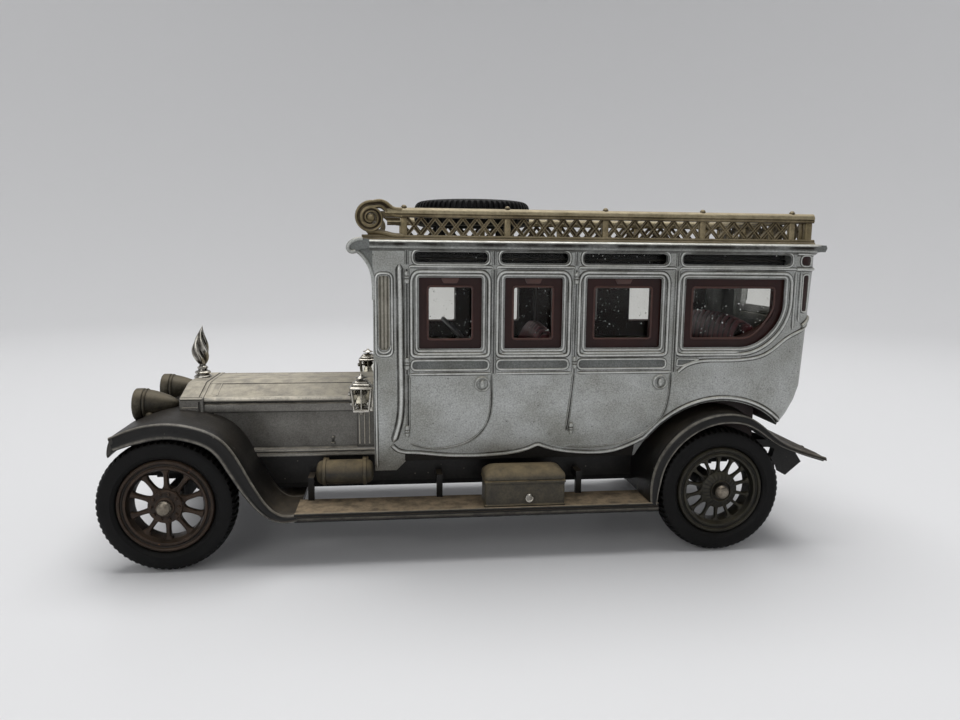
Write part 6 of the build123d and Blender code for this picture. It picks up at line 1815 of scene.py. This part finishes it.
# %% The pale sweep
flat_radius, curve_radius, wall_height = 420.0, 380.0, 500.0
bend = np.linspace(0, pi / 2, 24)
sweep_profile = np.vstack([
    [[0.0, 0.0], [60.0, 0.0], [200.0, 0.0]],
    np.stack([flat_radius + curve_radius * np.sin(bend), curve_radius * (1 - np.cos(bend))], 1),
    [[flat_radius + curve_radius, curve_radius + wall_height]],
])
turn = np.linspace(0, 2 * pi, 96, endpoint=False)
ring = np.stack([np.cos(turn), np.sin(turn)], 1)
sweep_points = np.zeros((len(sweep_profile) - 1, len(turn), 3))
sweep_points[:, :, :2] = sweep_profile[1:, None, :1] * ring
sweep_points[:, :, 2] = sweep_profile[1:, None, 1]
sweep_index = np.arange(sweep_points.shape[0] * len(turn)).reshape(-1, len(turn))
sweep_rows = np.hstack([sweep_index, sweep_index[:, :1]])
sweep_quads = np.stack([sweep_rows[:-1, :-1], sweep_rows[1:, :-1], sweep_rows[1:, 1:], sweep_rows[:-1, 1:]],
    -1)
paper_mesh = bpy.data.meshes.new("paper_sweep")
sweep_faces = sweep_quads.reshape(-1, 4).tolist() + [sweep_index[0].tolist()]
paper_mesh.from_pydata((sweep_points.reshape(-1, 3) * MM).tolist(), [], sweep_faces)
paper_mesh.polygons.foreach_set("use_smooth", np.ones(len(paper_mesh.polygons), bool))
paper = bpy.data.objects.new("paper_sweep", paper_mesh)
bpy.context.scene.collection.objects.link(paper)
paper_finish, tree, shader, coordinates, place = blank("pale_seamless_paper")
shader.inputs["Base Color"].default_value = linear("#D9D9DA")
shader.inputs["Roughness"].default_value = 0.42
shader.inputs["Specular IOR Level"].default_value = 0.35
paper_mesh.materials.append(paper_finish)


# %% Soft light
def softbox(name, place, aim, size, watts):
    """A square area light at a place in millimetres, facing a point."""
    lamp = bpy.data.lights.new(name, "AREA")
    lamp.shape = "RECTANGLE"
    lamp.size, lamp.size_y = size[0] * MM, size[1] * MM
    lamp.energy = watts
    holder = bpy.data.objects.new(name, lamp)
    bpy.context.scene.collection.objects.link(holder)
    holder.location = Vector(place) * MM
    holder.rotation_mode = "QUATERNION"
    holder.rotation_quaternion = (Vector(aim) - Vector(place)).to_track_quat("-Z", "Y")
    return holder


softbox("overhead_softbox", (20, 90, 620), (0, 0, 0), (620, 520), 4.15)
softbox("front_fill", (-260, -520, 330), (0, 0, 25), (420, 300), 0.65)
sky = bpy.data.worlds.new("studio_sky")
sky.use_nodes = True
sky.node_tree.nodes["Background"].inputs["Color"].default_value = linear("#E6E8EA")
sky.node_tree.nodes["Background"].inputs["Strength"].default_value = 0.28
bpy.context.scene.world = sky
bpy.context.scene.view_settings.view_transform = "Standard"

# %% [markdown]
# ## Camera
# The car is seen from its left, a little ahead of the middle and from slightly above, through a short lens
# held close. That closeness is what makes the near wheels large and lets the far windows shift.

# %% Place the camera
eye = Vector((-13.365, -132.600, 49.353)) * MM
heading, dip, lean = radians(6.7066), radians(8.2707), radians(0.5365)
forward = Vector((sin(heading) * cos(dip), cos(heading) * cos(dip), -sin(dip)))
level = Vector((cos(heading), -sin(heading), 0))
upright = level.cross(forward)
right = level * cos(lean) + upright * sin(lean)
up = -level * sin(lean) + upright * cos(lean)
lens = bpy.data.cameras.new("camera")
lens.lens, lens.sensor_width = 27.44, 36.0
lens.clip_start, lens.clip_end = 0.01, 10.0
camera = bpy.data.objects.new("camera", lens)
bpy.context.scene.collection.objects.link(camera)
camera.rotation_mode = "QUATERNION"
camera.location = eye
camera.rotation_quaternion = Matrix((right, up, -forward)).transposed().to_quaternion()
bpy.context.scene.camera = camera
